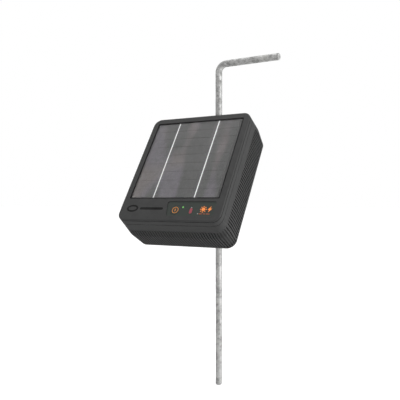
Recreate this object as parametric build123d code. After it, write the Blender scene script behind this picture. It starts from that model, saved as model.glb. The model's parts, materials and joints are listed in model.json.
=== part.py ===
"""Solar fence energizer on a bent ground stake.

Row frame: millimetres, +Z up, the stake's axis is Z and the origin is the centre of the stake's lower end.
The panel faces -Y and leans back. The energizer's own pieces are first made in a bench frame: it lies on
its back with the front face at z = 0 facing +Z, X to the right and Y up the panel, so a depth behind the
front face is a negative z. house() then carries a bench piece to its place on the stake.
"""

from build123d import *
import math
import os

# ---- ground stake ----
stake_radius = 5.0
stake_height = 473.0  # lower end to the handle's centreline
handle_reach = 96.0  # stake axis to the handle's end
stake_bend_radius = 12.5
stake_end_chamfer = 1.2
depth_ring_height, depth_ring_width, depth_ring_depth = 150.0, 1.2, 0.3  # turned mark at the ground line

# ---- stance of the energizer on the stake ----
panel_tilt = 33.2  # panel's lean from the vertical, degrees
panel_centre_height = 318.4  # centre of the front face above the stake's lower end
stake_offset = 0.3  # stake's axis to the case's upper rear edge, which is notched for the stake
stake_notch_gap = 0.8  # stake to the notch

# ---- case outline: how far each edge stands out beyond the front face's is a flare ----
front_width = 153.8
front_height = 170.8
front_corner_radius = 11.3
front_edge_round = 1.6
cover_depth = 9.0  # front face to the seam
seam_gap = 0.6
seal_inset, seal_width = 1.0, 1.6
face_groove_place, face_groove_width, face_groove_depth = 1.9, 1.0, 1.0  # behind the front face
waist_depth = 33.0  # front face to the widest line
waist_side_flare, waist_top_flare, waist_bottom_flare = 0.2, 3.4, 5.8
waist_corner_radius = 14.3
case_depth = 61.5
rear_side_flare, rear_top_flare, rear_bottom_flare = -2.7, 0.0, 3.9
rear_corner_radius = 12.3
rear_edge_round = 1.8
case_wall = 2.8

# ---- grip ribs round the rear half of the case: the grooves between them ----
rib_pitch = 4.0
rib_groove_width = 2.0
rib_groove_depth = 1.3
rib_front_depth = 20.0  # front face to where a groove starts
rib_run_in = 4.0  # length over which it reaches its full depth
rib_rear_margin = 4.0  # rear face to a groove's rear end

# ---- solar panel ----
window_side_margin = 8.7
window_height = 129.2
window_top_margin = 8.5
window_corner_radius = 1.5
panel_recess = 0.4  # bezel to glass
glass_thickness = 1.2
cell_thickness = 0.3
backing_thickness = 1.6
panel_clearance = 0.3
tub_wall = 2.2
tub_floor = 2.4
cell_width = 125.0
cell_count = 9
cell_gap = 0.45
cell_side_margin = 1.6  # panel's upper and lower edge to the first and last cell
busbar_spacing = 62.5
busbar_width = 1.7
busbar_thickness = 0.15
layer_gap = 0.02
lead_slot_width, lead_slot_height = 14.0, 5.0  # through the tub's floor, for the panel's lead
lead_slot_top_margin = 14.0  # window's top edge to the middle of the slot

# ---- control strip ----
label_left_top, label_left_bottom = -5.0, -1.0
label_right = 66.5
label_top, label_bottom = -56.8, -78.4
label_corner_radius = 3.0
label_recess = 1.1
label_thickness = 0.4
label_clearance = 0.15
button_x, button_y = 10.0, -69.4
button_radius = 6.4
button_clearance = 0.25
button_flange_radius = 7.4
button_flange_thickness = 1.0
button_stem_radius = 2.2
button_travel = 0.6
button_proud = 0.3  # key above the film
button_stem_gap = 0.05  # stem to plunger
button_flange_gap = 0.1
collar_wall = 1.6
collar_depth = 3.7
power_light_x, power_light_y = 20.0, -65.0
light_radius = 1.1
battery_light_x, battery_light_y = 32.8, -70.3
battery_light_width, battery_light_height = 3.8, 7.6
light_pipe_gap = 0.2  # pipes to the board's lights
badge_x, badge_y = -57.0, -67.8
badge_width, badge_height = 18.0, 11.0
badge_ring_width = 2.6
badge_bar_x, badge_bar_length, badge_bar_height = -27.0, 36.0, 3.6
badge_depth = 0.5
badge_clearance = 0.1

# ---- circuit board ----
board_width, board_height, board_thickness = 112.0, 60.0, 1.6
board_depth = 12.0  # front face to the board's front
board_y = -49.0
board_corner_radius = 2.0
standoff_x, standoff_dy = 50.0, 26.0
standoff_radius = 3.2
board_screw_radius = 1.1
board_screw_head_radius, board_screw_head = 2.2, 1.6
board_hole_floor = 0.6  # tub's rear to the bottom of a standoff's hole
screw_clearance, screw_pass_clearance, screw_end_gap = 0.1, 0.25, 0.8
switch_size, switch_height = 6.0, 3.4
plunger_radius, plunger_clearance = 1.7, 0.1
plunger_proud, plunger_length = 0.85, 1.75

# ---- what the board carries, each place given as x, y ----
solder_gap = 0.05  # board to what stands on it
plug_size = (12.0, 6.0, 7.0)  # across, up the board, off the board
panel_plug, battery_plug = (-36.0, -23.0), (30.0, -22.0)
fence_pad = (-1.0, -48.0)
earth_pad_size, earth_pad = (10.0, 15.0, 4.6), (47.0, -56.0)
chip_size, chip = (9.0, 9.0, 1.6), (47.5, -34.0)
electrolytic_radius, electrolytic_length = 5.0, 14.0
electrolytics = [(3.0, -66.0), (15.0, -66.0)]
inductor_radius, inductor_length, inductor = 7.0, 9.0, (34.0, -64.5)
capacitor_size, capacitor = (36.0, 22.0, 30.0), (22.0, -38.0)
transformer_x, transformer_y = -27.0, -48.0
core_width, core_height, core_thickness = 42.0, 38.0, 13.0
core_leg, core_arm = 12.0, 6.5
winding_depth, winding_gap, winding_foot = 22.0, 0.4, 2.5
led_length = 3.0
chip_light_size = (3.0, 3.4, 1.9)

# ---- case screws ----
post_x, post_y = 62.0, 73.0
boss_radius = 4.0
post_radius = 5.2
boss_end_depth = 20.0
post_gap = 0.4
case_screw_radius = 1.75
case_screw_seat_depth = 40.0
case_screw_reach = 31.0
case_screw_head_radius, case_screw_head = 3.3, 2.6
counterbore_clearance = 0.4

# ---- battery ----
battery_cell_radius, battery_cell_length = 13.1, 65.3
battery_y, battery_cell_gap = 34.0, 1.8
tray_wall = 1.8
tray_height = 19.0
tray_clearance = 0.35
protection_board_width, protection_board_height, protection_board_thickness = 50.0, 11.0, 1.2

# ---- stake bracket ----
bracket_top, bracket_bottom = 335.0, 286.0
bracket_width = 52.0
bracket_wall = 3.2
flange_width, flange_height, flange_thickness = 94.0, 62.0, 3.5
flange_y = 31.0
flange_corner_radius = 6.0
bracket_screw_x, bracket_screw_dy = 41.0, 24.0
bracket_screw_radius = 1.6
bracket_screw_head_radius, bracket_screw_head = 3.4, 2.2
bracket_screw_length = 15.0
bracket_boss_radius, bracket_boss_end_wall = 4.2, 2.0
bush_wall = 3.0
bush_stake_clearance = 0.1
bush_running_clearance = 0.05
bush_flange_width, bush_flange_thickness = 2.6, 2.8
bush_end_clearance = 0.2
bush_slot_width = 1.2
circlip_thickness, circlip_width, circlip_bite = 1.2, 1.8, 0.8
circlip_clearance, circlip_land = 0.05, 1.6  # in its groove; bush beyond the groove
tube_wall = 3.6
bracket_back_gap = 0.4  # how far the bracket's back stands behind its tube
ear_half_width, ear_thickness, ear_corner_radius = 38.0, 3.6, 5.0
ear_margin = 2.5
ear_hole_radius = 2.6
ear_hole_x, ear_hole_dz = 31.5, 15.0

# ---- stake clamp ----
clamp_height = 310.5
clamp_screw_radius = 3.0
clamp_travel = 3.0
clamp_boss_radius = 7.6
clamp_boss_end = 39.5
insert_radius, insert_length = 5.0, 12.0
insert_clearance = 0.05
pad_radius, pad_thickness = 4.4, 2.6
pad_gap, pad_clearance = 0.25, 0.15  # to the bush, and round the pad
knob_radius, knob_thickness = 12.0, 12.0
knob_lobes, knob_scallop_radius = 6, 4.5
knob_gap = 0.6
knob_bore_share = 0.7  # of the knob's thickness

# ---- output terminals ----
terminal_x, terminal_y = 25.0, -55.0
stud_radius, stud_length = 2.5, 12.0
stud_tail = 9.0  # collar to the stud's inner end
stud_flange_radius, stud_flange_thickness = 4.6, 1.6
base_flange_radius = 9.0
base_neck_radius, base_neck_length = 4.4, 6.0
terminal_clearance = 0.1
terminal_travel = 4.0
washer_radius, washer_thickness = 6.4, 1.2
terminal_stack_gap = 0.1  # between neighbouring pieces on the stud
terminal_knob_radius, terminal_knob_roof = 8.0, 2.5
terminal_knob_end_gap = 0.5  # stud's end to the knob's roof
terminal_knob_clearance = 0.08
terminal_knob_flutes, terminal_flute_radius = 10, 1.5
nut_across_flats, nut_thickness = 8.0, 4.0
strap_width, strap_thickness = 12.0, 0.8  # joins the earth stud to the metal bracket

# ---- pressure vent ----
vent_x, vent_y = 0.0, -55.0
vent_radius, vent_thickness = 6.5, 2.4
vent_stem_radius, vent_stem_length = 3.0, 5.0

# ---- leads inside the case ----
lead_radius = 1.1
lead_end_gap = 0.15  # lead's end to what it is joined to

# ---- worked-out places ----
tilt = math.radians(panel_tilt)
window_width = front_width - 2 * window_side_margin
window_y = front_height / 2 - window_top_margin - window_height / 2
lead_slot_y = window_y + window_height / 2 - lead_slot_top_margin
tub_depth = panel_recess + glass_thickness + cell_thickness + backing_thickness + 3 * layer_gap
tub_back = tub_depth + tub_floor
film_front = label_recess - label_thickness
shell_front = cover_depth + seam_gap
shell_floor = case_depth - case_wall
board_back = board_depth + board_thickness
bush_radius = stake_radius + bush_wall
tube_bore_radius = bush_radius + bush_running_clearance
bracket_rear = tube_bore_radius + tube_wall + bracket_back_gap
flange_rear = case_depth + flange_thickness
bracket_hole_end = flange_rear - bracket_screw_length - screw_end_gap
collar_near = shell_floor + case_wall - base_neck_length - stud_flange_thickness
stud_near = collar_near - stud_tail
tray_far = shell_floor - 0.05
cell_axis_depth = tray_far - tray_wall - tray_clearance - battery_cell_radius
protection_board_far = cell_axis_depth - battery_cell_radius - 0.3
protection_board_near = protection_board_far - protection_board_thickness
battery_cell_dy = battery_cell_radius + battery_cell_gap / 2
battery_cell_y = (battery_y - battery_cell_dy, battery_y + battery_cell_dy)
standoffs = [(x, board_y + dy) for x in (-standoff_x, standoff_x) for dy in (-standoff_dy, standoff_dy)]
posts = [(x, y) for x in (-post_x, post_x) for y in (-post_y, post_y)]
flange_screws = [
    (x, flange_y + dy)
    for x in (-bracket_screw_x, bracket_screw_x)
    for dy in (-bracket_screw_dy, bracket_screw_dy)
]
terminals = {"fence": -terminal_x, "earth": terminal_x}
strap_screw = (bracket_screw_x, flange_y - bracket_screw_dy)
rear_top = front_height / 2 + rear_top_flare
front_setback = stake_offset + rear_top * math.sin(tilt) + case_depth * math.cos(tilt)
notch_radius = stake_radius + stake_notch_gap
bench_to_stake = Pos(0, -front_setback, panel_centre_height) * Rot(90 - panel_tilt, 0, 0)


def house(piece):
    """A bench piece at its place on the stake."""
    return bench_to_stake * piece


def unhoused(solid):
    """A solid of the row frame, carried back to the bench frame."""
    return bench_to_stake.inverse() * solid


def upright(radius, low, high):
    """A row-frame cylinder on the stake's axis."""
    return Pos(0, 0, (low + high) / 2) * Cylinder(radius, high - low)


def rear_plane_y(height, depth):
    """Row y of the plane that lies this deep behind the front face, at this height."""
    up = (height - panel_centre_height + depth * math.sin(tilt)) / math.cos(tilt)
    return -front_setback + up * math.sin(tilt) + depth * math.cos(tilt)


def slab(width, height, radius, near, far, x=0.0, y=0.0):
    """A rounded rectangle of the bench frame, from one depth to another."""
    outline = Pos(x, y, -far) * RectangleRounded(width, height, radius)
    return extrude(outline, amount=far - near)


def disc(radius, near, far, x=0.0, y=0.0):
    """A round bench solid about a depth axis, from one depth to another."""
    return Pos(x, y, -(near + far) / 2) * Cylinder(radius, far - near)


def ring(outer, inner, near, far, x=0.0, y=0.0):
    """A tube about a depth axis."""
    return disc(outer, near, far, x, y) - disc(inner, near - 1, far + 1, x, y)


def outline(side, top, bottom, radius):
    """A section of the case from its flares: width, height, corner radius and the y of its middle."""
    return front_width + 2 * side, front_height + top + bottom, radius, (top - bottom) / 2


def between(near_size, far_size, share):
    """A section part of the way from one to another."""
    return tuple(near + share * (far - near) for near, far in zip(near_size, far_size))


def shrunk(size, inset):
    """A section with every side moved in, and its corners to match."""
    width, height, radius, middle = size
    return width - 2 * inset, height - 2 * inset, max(radius - inset, 1.0), middle


def block(size, near, far):
    """A straight block of one section, from one depth to another."""
    width, height, radius, middle = size
    return slab(width, height, radius, near, far, 0, middle)


def taper(near, far, near_size, far_size):
    """A ruled block between two sections."""
    faces = []
    for depth, (width, height, radius, middle) in ((near, near_size), (far, far_size)):
        faces.append(Pos(0, middle, -depth) * RectangleRounded(width, height, radius))
    return loft(faces, ruled=True)


cover_front = outline(0, 0, 0, front_corner_radius)
waist = outline(waist_side_flare, waist_top_flare, waist_bottom_flare, waist_corner_radius)
shell_rear = outline(rear_side_flare, rear_top_flare, rear_bottom_flare, rear_corner_radius)
cover_rear = between(cover_front, waist, cover_depth / waist_depth)
shell_near = between(cover_front, waist, shell_front / waist_depth)
shell_inner_floor = between(waist, shell_rear, (shell_floor - waist_depth) / (case_depth - waist_depth))


# ---- front cover and what it holds ----
def label_outline(inset):
    """The control strip's outline, with its slanted left end, moved in by an inset."""
    corners = [
        (label_left_top + inset, label_top - inset),
        (label_right - inset, label_top - inset),
        (label_right - inset, label_bottom + inset),
        (label_left_bottom + inset, label_bottom + inset),
    ]
    outline = make_face(Polyline(*corners, close=True))
    return fillet(outline.vertices(), label_corner_radius)


def strip_holes(clearance):
    """The holes that the button and the two lights need through the label and the cover."""
    depth = case_wall + collar_depth
    holes = disc(button_radius + clearance, -1, depth, button_x, button_y)
    holes += disc(light_radius + clearance, -1, depth, power_light_x, power_light_y)
    width, height = battery_light_width + 2 * clearance, battery_light_height + 2 * clearance
    holes += slab(width, height, width / 2 - 0.2, -1, depth, battery_light_x, battery_light_y)
    return holes


def badge_shapes(clearance, near, far):
    """A plain oval ring and a bar, as moulded insets with no lettering."""
    outer = Ellipse(badge_width / 2 + clearance, badge_height / 2 + clearance)
    inner = Ellipse(
        badge_width / 2 - badge_ring_width - clearance, badge_height / 2 - badge_ring_width - clearance
    )
    oval = Pos(badge_x, badge_y, -far) * extrude(outer - inner, amount=far - near)
    height = badge_bar_height + 2 * clearance
    bar = slab(badge_bar_length + 2 * clearance, height, height / 2 - 0.05, near, far, badge_bar_x, badge_y)
    return [oval, bar]


def front_cover():
    """Bezel and skirt in one moulding, with the panel's tub, the strip's recess and a button guide."""
    body = taper(0, cover_depth, cover_front, cover_rear)
    body = fillet(body.faces().sort_by(Axis.Z)[-1].edges(), front_edge_round)
    groove_far = face_groove_place + face_groove_width
    groove = block(outline(5, 5, 5, front_corner_radius + 5), face_groove_place, groove_far)
    body -= groove - block(shrunk(cover_front, face_groove_depth), 0, cover_depth)
    body -= block(shrunk(cover_front, case_wall), case_wall, cover_depth + 1)
    body += slab(
        window_width + 2 * tub_wall, window_height + 2 * tub_wall, window_corner_radius + tub_wall,
        front_edge_round, tub_back, 0, window_y,
    )
    for x, y in posts:
        body += disc(boss_radius, case_wall - 0.2 if y < 0 else tub_depth, boss_end_depth, x, y)
    for x, y in standoffs:
        body += disc(standoff_radius, tub_depth if y > label_top else case_wall - 0.2, board_depth, x, y)
    guide_radius = button_flange_radius + button_clearance
    body += disc(guide_radius + collar_wall, case_wall - 0.2, case_wall + collar_depth, button_x, button_y)
    body -= slab(window_width, window_height, window_corner_radius, -1, tub_depth, 0, window_y)
    body -= slab(lead_slot_width, lead_slot_height, 2.0, 0, tub_back + 1, 0, lead_slot_y)
    body -= Pos(0, 0, -label_recess) * extrude(label_outline(0), amount=label_recess + 1)
    body -= disc(guide_radius, case_wall, case_wall + collar_depth + 1, button_x, button_y)
    body -= strip_holes(button_clearance)
    body -= badge_shapes(badge_clearance, -1, badge_depth)
    for x, y in posts:
        body -= disc(case_screw_radius + screw_clearance, tub_back, boss_end_depth + 1, x, y)
    hole_near = tub_back + board_hole_floor
    for x, y in standoffs:
        body -= disc(board_screw_radius + screw_clearance, hole_near, board_depth + 1, x, y)
    return body


def panel_layer(near, thickness):
    """A sheet of the solar panel's full size."""
    size = (window_width - 2 * panel_clearance, window_height - 2 * panel_clearance)
    return slab(*size, window_corner_radius - panel_clearance, near, near + thickness, 0, window_y)


def cell_strips(near):
    """The panel's cell strips, one above another."""
    span = window_height - 2 * (panel_clearance + cell_side_margin)
    pitch = span / cell_count
    strips = []
    for row in range(cell_count):
        y = window_y - span / 2 + (row + 0.5) * pitch
        strips.append(slab(cell_width, pitch - cell_gap, 0.3, near, near + cell_thickness, 0, y))
    return strips


def busbars(near):
    """Two tinned ribbons that run up the whole panel, let into the rear of the glass."""
    span = window_height - 2 * (panel_clearance + cell_side_margin)
    far = near + busbar_thickness
    return [
        slab(busbar_width, span, 0.3, near, far, side * busbar_spacing / 2, window_y) for side in (-1, 1)
    ]


def panel_pieces():
    """Glass, ribbons, cells and backing board, front to back."""
    glass_rear = panel_recess + glass_thickness
    ribbons = busbars(glass_rear - busbar_thickness)
    room = [Pos(0, 0, -layer_gap) * ribbon for ribbon in ribbons]
    cells_near = glass_rear + layer_gap
    return {
        "panel_glass": panel_layer(panel_recess, glass_thickness) - ribbons - room,
        "panel_ribbons": Compound(ribbons),
        "solar_cells": Compound(cell_strips(cells_near)),
        "panel_backing": panel_layer(cells_near + cell_thickness + layer_gap, backing_thickness),
    }


def control_label():
    """The strip's printed film."""
    film = extrude(label_outline(label_clearance), amount=label_thickness)
    return Pos(0, 0, -label_recess) * film - strip_holes(button_clearance)


def power_button():
    """Round key with a retaining flange and a stem that reaches the switch."""
    flange_near = case_wall + button_flange_gap
    flange_far = flange_near + button_flange_thickness
    key = disc(button_radius, film_front - button_proud, flange_near + 0.2, button_x, button_y)
    key = fillet(key.faces().sort_by(Axis.Z)[-1].edges(), 0.6)
    key += disc(button_flange_radius, flange_near, flange_far, button_x, button_y)
    stem_end = board_depth - switch_height - plunger_proud - button_stem_gap
    return key + disc(button_stem_radius, flange_far - 0.2, stem_end, button_x, button_y)


def switch_body():
    """Tactile switch on the board, bored for its plunger."""
    near = board_depth - switch_height
    body = slab(switch_size, switch_size, 0.5, near, board_depth, button_x, button_y)
    bore_end = near - plunger_proud + plunger_length + button_travel + 0.3
    return body - disc(plunger_radius + plunger_clearance, 0, bore_end, button_x, button_y)


def switch_plunger():
    """The switch's plunger, which the button's stem pushes."""
    near = board_depth - switch_height - plunger_proud
    return disc(plunger_radius, near, near + plunger_length, button_x, button_y)


def light_pipes():
    """Clear guides that bring the board's lights to the strip."""
    far = board_depth - led_length - light_pipe_gap
    power = disc(light_radius, film_front, far, power_light_x, power_light_y)
    width = battery_light_width
    battery = slab(
        width, battery_light_height, width / 2 - 0.3, film_front, far,
        battery_light_x, battery_light_y,
    )
    return {"power_light_pipe": power, "battery_light_pipe": battery}


# ---- circuit board and what it carries ----
def main_board():
    """Printed board on four standoffs of the cover."""
    board = slab(board_width, board_height, board_corner_radius, board_depth, board_back, 0, board_y)
    for x, y in standoffs:
        board -= disc(board_screw_radius + screw_clearance, 0, case_depth, x, y)
    return board


def screw(radius, length, head_radius, head):
    """A pan-head screw pointing down from z = 0, with its head above and a hexagonal drive in it."""
    shank = Pos(0, 0, -length / 2) * Cylinder(radius, length)
    shank = chamfer(shank.faces().sort_by(Axis.Z)[0].edges(), radius * 0.45)
    top = Pos(0, 0, head / 2) * Cylinder(head_radius, head)
    top = fillet(top.faces().sort_by(Axis.Z)[-1].edges(), head * 0.4)
    drive = Pos(0, 0, head * 0.45) * extrude(RegularPolygon(head_radius * 0.45, 6), amount=head)
    return shank + top - drive


def rear_screws(places, seat_depth, *sizes):
    """Screws driven from the rear, their heads seated at a depth."""
    one = Rot(180, 0, 0) * screw(*sizes)
    return [Pos(x, y, -seat_depth) * one for x, y in places]


def board_screws():
    """Four screws that hold the board."""
    length = board_back - tub_back - board_hole_floor - screw_end_gap
    sizes = (board_screw_radius, length, board_screw_head_radius, board_screw_head)
    return Compound(rear_screws(standoffs, board_back, *sizes))


def case_screws():
    """Four long screws that close the case."""
    sizes = (case_screw_radius, case_screw_reach, case_screw_head_radius, case_screw_head)
    return Compound(rear_screws(posts, case_screw_seat_depth, *sizes))


def transformer():
    """Pulse transformer: a ferrite frame with a centre leg, and the wound bobbin on that leg."""
    x, y = transformer_x, transformer_y
    winding_near = board_back + winding_foot
    middle = winding_near + winding_depth / 2
    near, far = middle - core_thickness / 2, middle + core_thickness / 2
    core = slab(core_width, core_height, 1.0, near, far, x, y)
    slot = (core_width - 2 * core_arm - core_leg) / 2
    inner_height = core_height - 2 * core_arm
    for side in (-1, 1):
        core -= slab(slot, inner_height, 0.5, near - 1, far + 1, x + side * (core_leg + slot) / 2, y)
    bobbin_size = (core_leg + 2 * slot - 1.4, inner_height - 1.0, 5.0)
    bobbin = slab(*bobbin_size, winding_near, winding_near + winding_depth, x, y)
    leg_room = core_leg + winding_gap
    bobbin -= slab(leg_room, core_height, 0.5, near - winding_gap / 2, far + winding_gap / 2, x, y)
    bobbin += slab(core_width - 2, core_height - 2, 2.0, board_back + solder_gap, winding_near, x, y)
    return {"transformer_core": core, "transformer_bobbin": bobbin}


def on_board(size, radius, place):
    """A block that stands on the board's rear, its size given across, up and off the board."""
    width, height, length = size
    rear = board_back + solder_gap
    return slab(width, height, radius, rear, rear + length, *place)


def storage_capacitor():
    """Film capacitor that holds each pulse's energy."""
    body = on_board(capacitor_size, 1.5, capacitor)
    return fillet(body.faces().sort_by(Axis.Z)[0].edges(), 1.0)


def board_components():
    """Inductor, electrolytics, driver and controller packages, connectors and the two lights."""
    rear, front = board_back + solder_gap, board_depth - solder_gap
    parts = [disc(electrolytic_radius, rear, rear + electrolytic_length, *place) for place in electrolytics]
    parts.append(disc(inductor_radius, rear, rear + inductor_length, *inductor))
    parts.append(on_board(chip_size, 0.4, chip))
    parts.append(on_board(earth_pad_size, 0.5, earth_pad))
    parts += [on_board(plug_size, 0.5, place) for place in (panel_plug, battery_plug)]
    parts.append(disc(light_radius, board_depth - led_length, front, power_light_x, power_light_y))
    width, height, length = chip_light_size
    parts.append(slab(width, height, 0.4, board_depth - length, front, battery_light_x, battery_light_y))
    return Compound(parts)


# ---- rear shell ----
def standing_out(size, heading):
    """How far a section stands out from the middle of the front face, towards a heading in radians."""
    width, height, radius, middle = size
    across, up = math.cos(heading), math.sin(heading)
    return (width / 2 - radius) * abs(across) + (height / 2 - radius) * abs(up) + middle * up + radius


def groove_tool(x, y, heading):
    """The tool for one groove, its floor one groove deep all along the two slopes of the wall.

    x and y are the groove's place at the widest line, and heading is the way the wall faces there.
    """
    widest = standing_out(waist, heading)
    front_slope = (widest - standing_out(shell_near, heading)) / (waist_depth - shell_front)
    rear_slope = (widest - standing_out(shell_rear, heading)) / (case_depth - waist_depth)
    full_depth, end_depth = rib_front_depth + rib_run_in, case_depth - rib_rear_margin
    floor = [
        (-front_slope * (waist_depth - rib_front_depth), -rib_front_depth),
        (-front_slope * (waist_depth - full_depth) - rib_groove_depth, -full_depth),
        (-rib_groove_depth, -waist_depth),
        (-rear_slope * (end_depth - waist_depth) - rib_groove_depth, -end_depth),
    ]
    corners = [*floor, (2.0, -end_depth), (2.0, -rib_front_depth)]
    profile = Plane.XZ * make_face(Polyline(*corners, close=True))
    turn = Rot(0, 0, math.degrees(heading))
    return Pos(x, y) * turn * extrude(profile, amount=rib_groove_width / 2, both=True)


def rib_grooves():
    """Every groove round the case: along each flat side, then round the corner after it."""
    width, height, radius, middle = waist
    centre_x, centre_y = width / 2 - radius, height / 2 - radius
    corner_steps = round(math.pi / 2 * radius / rib_pitch)
    tools = []
    for quarter in range(4):
        facing = quarter * math.pi / 2
        across, up = math.cos(facing), math.sin(facing)
        reach, span = (height / 2, centre_x) if quarter % 2 else (width / 2, centre_y)
        count = int(2 * span / rib_pitch)
        for n in range(count + 1):
            along = (n - count / 2) * rib_pitch
            x, y = reach * across - along * up, middle + reach * up + along * across
            tools.append(groove_tool(x, y, facing))
        corner_x = math.copysign(centre_x, math.cos(facing + math.pi / 4))
        corner_y = math.copysign(centre_y, math.sin(facing + math.pi / 4)) + middle
        for n in range(1, corner_steps):
            heading = facing + math.pi / 2 * n / corner_steps
            x, y = corner_x + radius * math.cos(heading), corner_y + radius * math.sin(heading)
            tools.append(groove_tool(x, y, heading))
    return tools


def rear_shell():
    """Ribbed rear half of the case, with screw posts, the bracket's bosses and the stake's notch."""
    body = taper(shell_front, waist_depth, shell_near, waist)
    body += taper(waist_depth, case_depth, waist, shell_rear)
    body = fillet(body.faces().sort_by(Axis.Z)[0].edges(), rear_edge_round)
    notch_wall = body & unhoused(upright(notch_radius + case_wall, 0, stake_height))
    near_hollow, waist_hollow = shrunk(shell_near, case_wall), shrunk(waist, case_wall)
    body -= taper(shell_front - 0.01, waist_depth, near_hollow, waist_hollow)
    body -= taper(waist_depth, shell_floor, waist_hollow, shrunk(shell_inner_floor, case_wall))
    for x, y in posts:
        body += disc(post_radius, boss_end_depth + post_gap, shell_floor + 0.2, x, y)
    for x, y in flange_screws:
        body += disc(bracket_boss_radius, bracket_hole_end - bracket_boss_end_wall, shell_floor + 0.2, x, y)
    body -= rib_grooves()
    body += notch_wall
    body -= unhoused(upright(notch_radius, 0, stake_height))
    for x, y in posts:
        head_room = case_screw_head_radius + counterbore_clearance
        body -= disc(head_room, case_screw_seat_depth, case_depth + 1, x, y)
        body -= disc(case_screw_radius + screw_pass_clearance, boss_end_depth, case_depth, x, y)
    for x, y in flange_screws:
        body -= disc(bracket_screw_radius + screw_clearance, bracket_hole_end, case_depth + 1, x, y)
    floor_holes = [(base_neck_radius, x, terminal_y) for x in terminals.values()]
    for radius, x, y in [*floor_holes, (vent_stem_radius, vent_x, vent_y)]:
        body -= disc(radius + terminal_clearance, shell_floor - 1, case_depth + 1, x, y)
    return body


def case_seal():
    """Seal ring in the seam between cover and shell."""
    outer = block(shrunk(cover_rear, seal_inset), cover_depth, shell_front)
    return outer - block(shrunk(cover_rear, seal_inset + seal_width), cover_depth - 1, shell_front + 1)


# ---- battery ----
def battery_pieces():
    """Two cells in a tray on the shell's floor, and their protection board."""
    width = battery_cell_length + 2 * (tray_clearance + tray_wall)
    height = battery_cell_y[1] - battery_cell_y[0] + 2 * (battery_cell_radius + tray_clearance + tray_wall)
    near = tray_far - tray_height
    tray = slab(width, height, 3.0, near, tray_far, 0, battery_y)
    hollow = (width - 2 * tray_wall, height - 2 * tray_wall, 3.0 - tray_wall)
    tray -= slab(*hollow, near - 1, tray_far - tray_wall, 0, battery_y)
    cells = []
    for y in battery_cell_y:
        cell = Rot(0, 90, 0) * Cylinder(battery_cell_radius, battery_cell_length)
        cell = fillet(cell.edges().filter_by(GeomType.CIRCLE), 0.8)
        cells.append(Pos(0, y, -cell_axis_depth) * cell)
    size = (protection_board_width, protection_board_height, 1.0)
    board = slab(*size, protection_board_near, protection_board_far, 0, battery_y)
    return {"battery_tray": tray, "battery_cells": Compound(cells), "battery_protection_board": board}


# ---- output terminals and vent ----
def stud(x):
    """Terminal stud with a round collar inside the case."""
    rod = disc(stud_radius, stud_near, flange_rear + stud_length, x, terminal_y)
    rod = chamfer(rod.faces().sort_by(Axis.Z)[0].edges(), 0.6)
    return rod + disc(stud_flange_radius, collar_near, collar_near + stud_flange_thickness, x, terminal_y)


def terminal_base(x):
    """Insulating bush round the stud, as thick outside the rear wall as the bracket's flange."""
    base = disc(base_flange_radius, case_depth, flange_rear, x, terminal_y)
    base = fillet(base.faces().sort_by(Axis.Z)[0].edges(), 0.8)
    neck_near = collar_near + stud_flange_thickness + terminal_stack_gap
    base += disc(base_neck_radius, neck_near, case_depth + 0.2, x, terminal_y)
    return base - disc(stud_radius + terminal_clearance, 0, flange_rear + 1, x, terminal_y)


def terminal_washer(x):
    """Washer that clamps a lead's ring or bare wire."""
    near = flange_rear + strap_thickness + terminal_stack_gap
    return ring(washer_radius, stud_radius + 0.2, near, near + washer_thickness, x, terminal_y)


def terminal_knob(x):
    """Fluted thumb nut, closed at its outer end."""
    near = flange_rear + strap_thickness + washer_thickness + 2 * terminal_stack_gap
    bore_far = flange_rear + stud_length + terminal_knob_end_gap
    far = bore_far + terminal_knob_roof
    knob = disc(terminal_knob_radius, near, far, x, terminal_y)
    knob = fillet(knob.faces().sort_by(Axis.Z)[0].edges(), 1.6)
    reach = terminal_knob_radius + terminal_flute_radius * 0.45
    for n in range(terminal_knob_flutes):
        angle = 2 * math.pi * n / terminal_knob_flutes
        flute_x, flute_y = x + reach * math.cos(angle), terminal_y + reach * math.sin(angle)
        knob -= disc(terminal_flute_radius, near + 2.0, far + 1, flute_x, flute_y)
    return knob - disc(stud_radius + terminal_knob_clearance, near - 1, bore_far, x, terminal_y)


def terminal_nuts():
    """Hexagonal nuts that draw the studs up against the bases."""
    far = collar_near - 0.05
    nuts = []
    for x in terminals.values():
        hexagon = Pos(x, terminal_y, -far) * RegularPolygon(nut_across_flats / 2, 6, major_radius=False)
        nut = extrude(hexagon, amount=nut_thickness)
        nuts.append(nut - disc(stud_radius + 0.05, 0, case_depth, x, terminal_y))
    return Compound(nuts)


def earth_strap():
    """Flat strap from the earth stud to one bracket screw, so that the stake is the earth."""
    ends = [Vector(terminals["earth"], terminal_y), Vector(*strap_screw)]
    middle, run = (ends[0] + ends[1]) / 2, ends[1] - ends[0]
    lean = math.degrees(math.atan2(run.Y, run.X))
    plan = Pos(middle.X, middle.Y, -flange_rear - strap_thickness) * Rot(0, 0, lean)
    strap = extrude(plan * SlotCenterToCenter(run.length, strap_width), amount=strap_thickness)
    for end, radius in zip(ends, (stud_radius, bracket_screw_radius)):
        strap -= disc(radius + screw_pass_clearance, 0, flange_rear + 10, end.X, end.Y)
    return strap


def vent_plug():
    """Breather that lets pressure out and keeps water out."""
    cap = disc(vent_radius, case_depth, case_depth + vent_thickness, vent_x, vent_y)
    cap = fillet(cap.faces().sort_by(Axis.Z)[0].edges(), 0.9)
    for n in range(6):
        angle = 2 * math.pi * n / 6
        x, y = vent_x + vent_radius * math.cos(angle), vent_y + vent_radius * math.sin(angle)
        cap -= disc(0.9, case_depth + 1.0, case_depth + vent_thickness + 1, x, y)
    return cap + disc(vent_stem_radius, case_depth - vent_stem_length, case_depth + 0.2, vent_x, vent_y)


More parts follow.
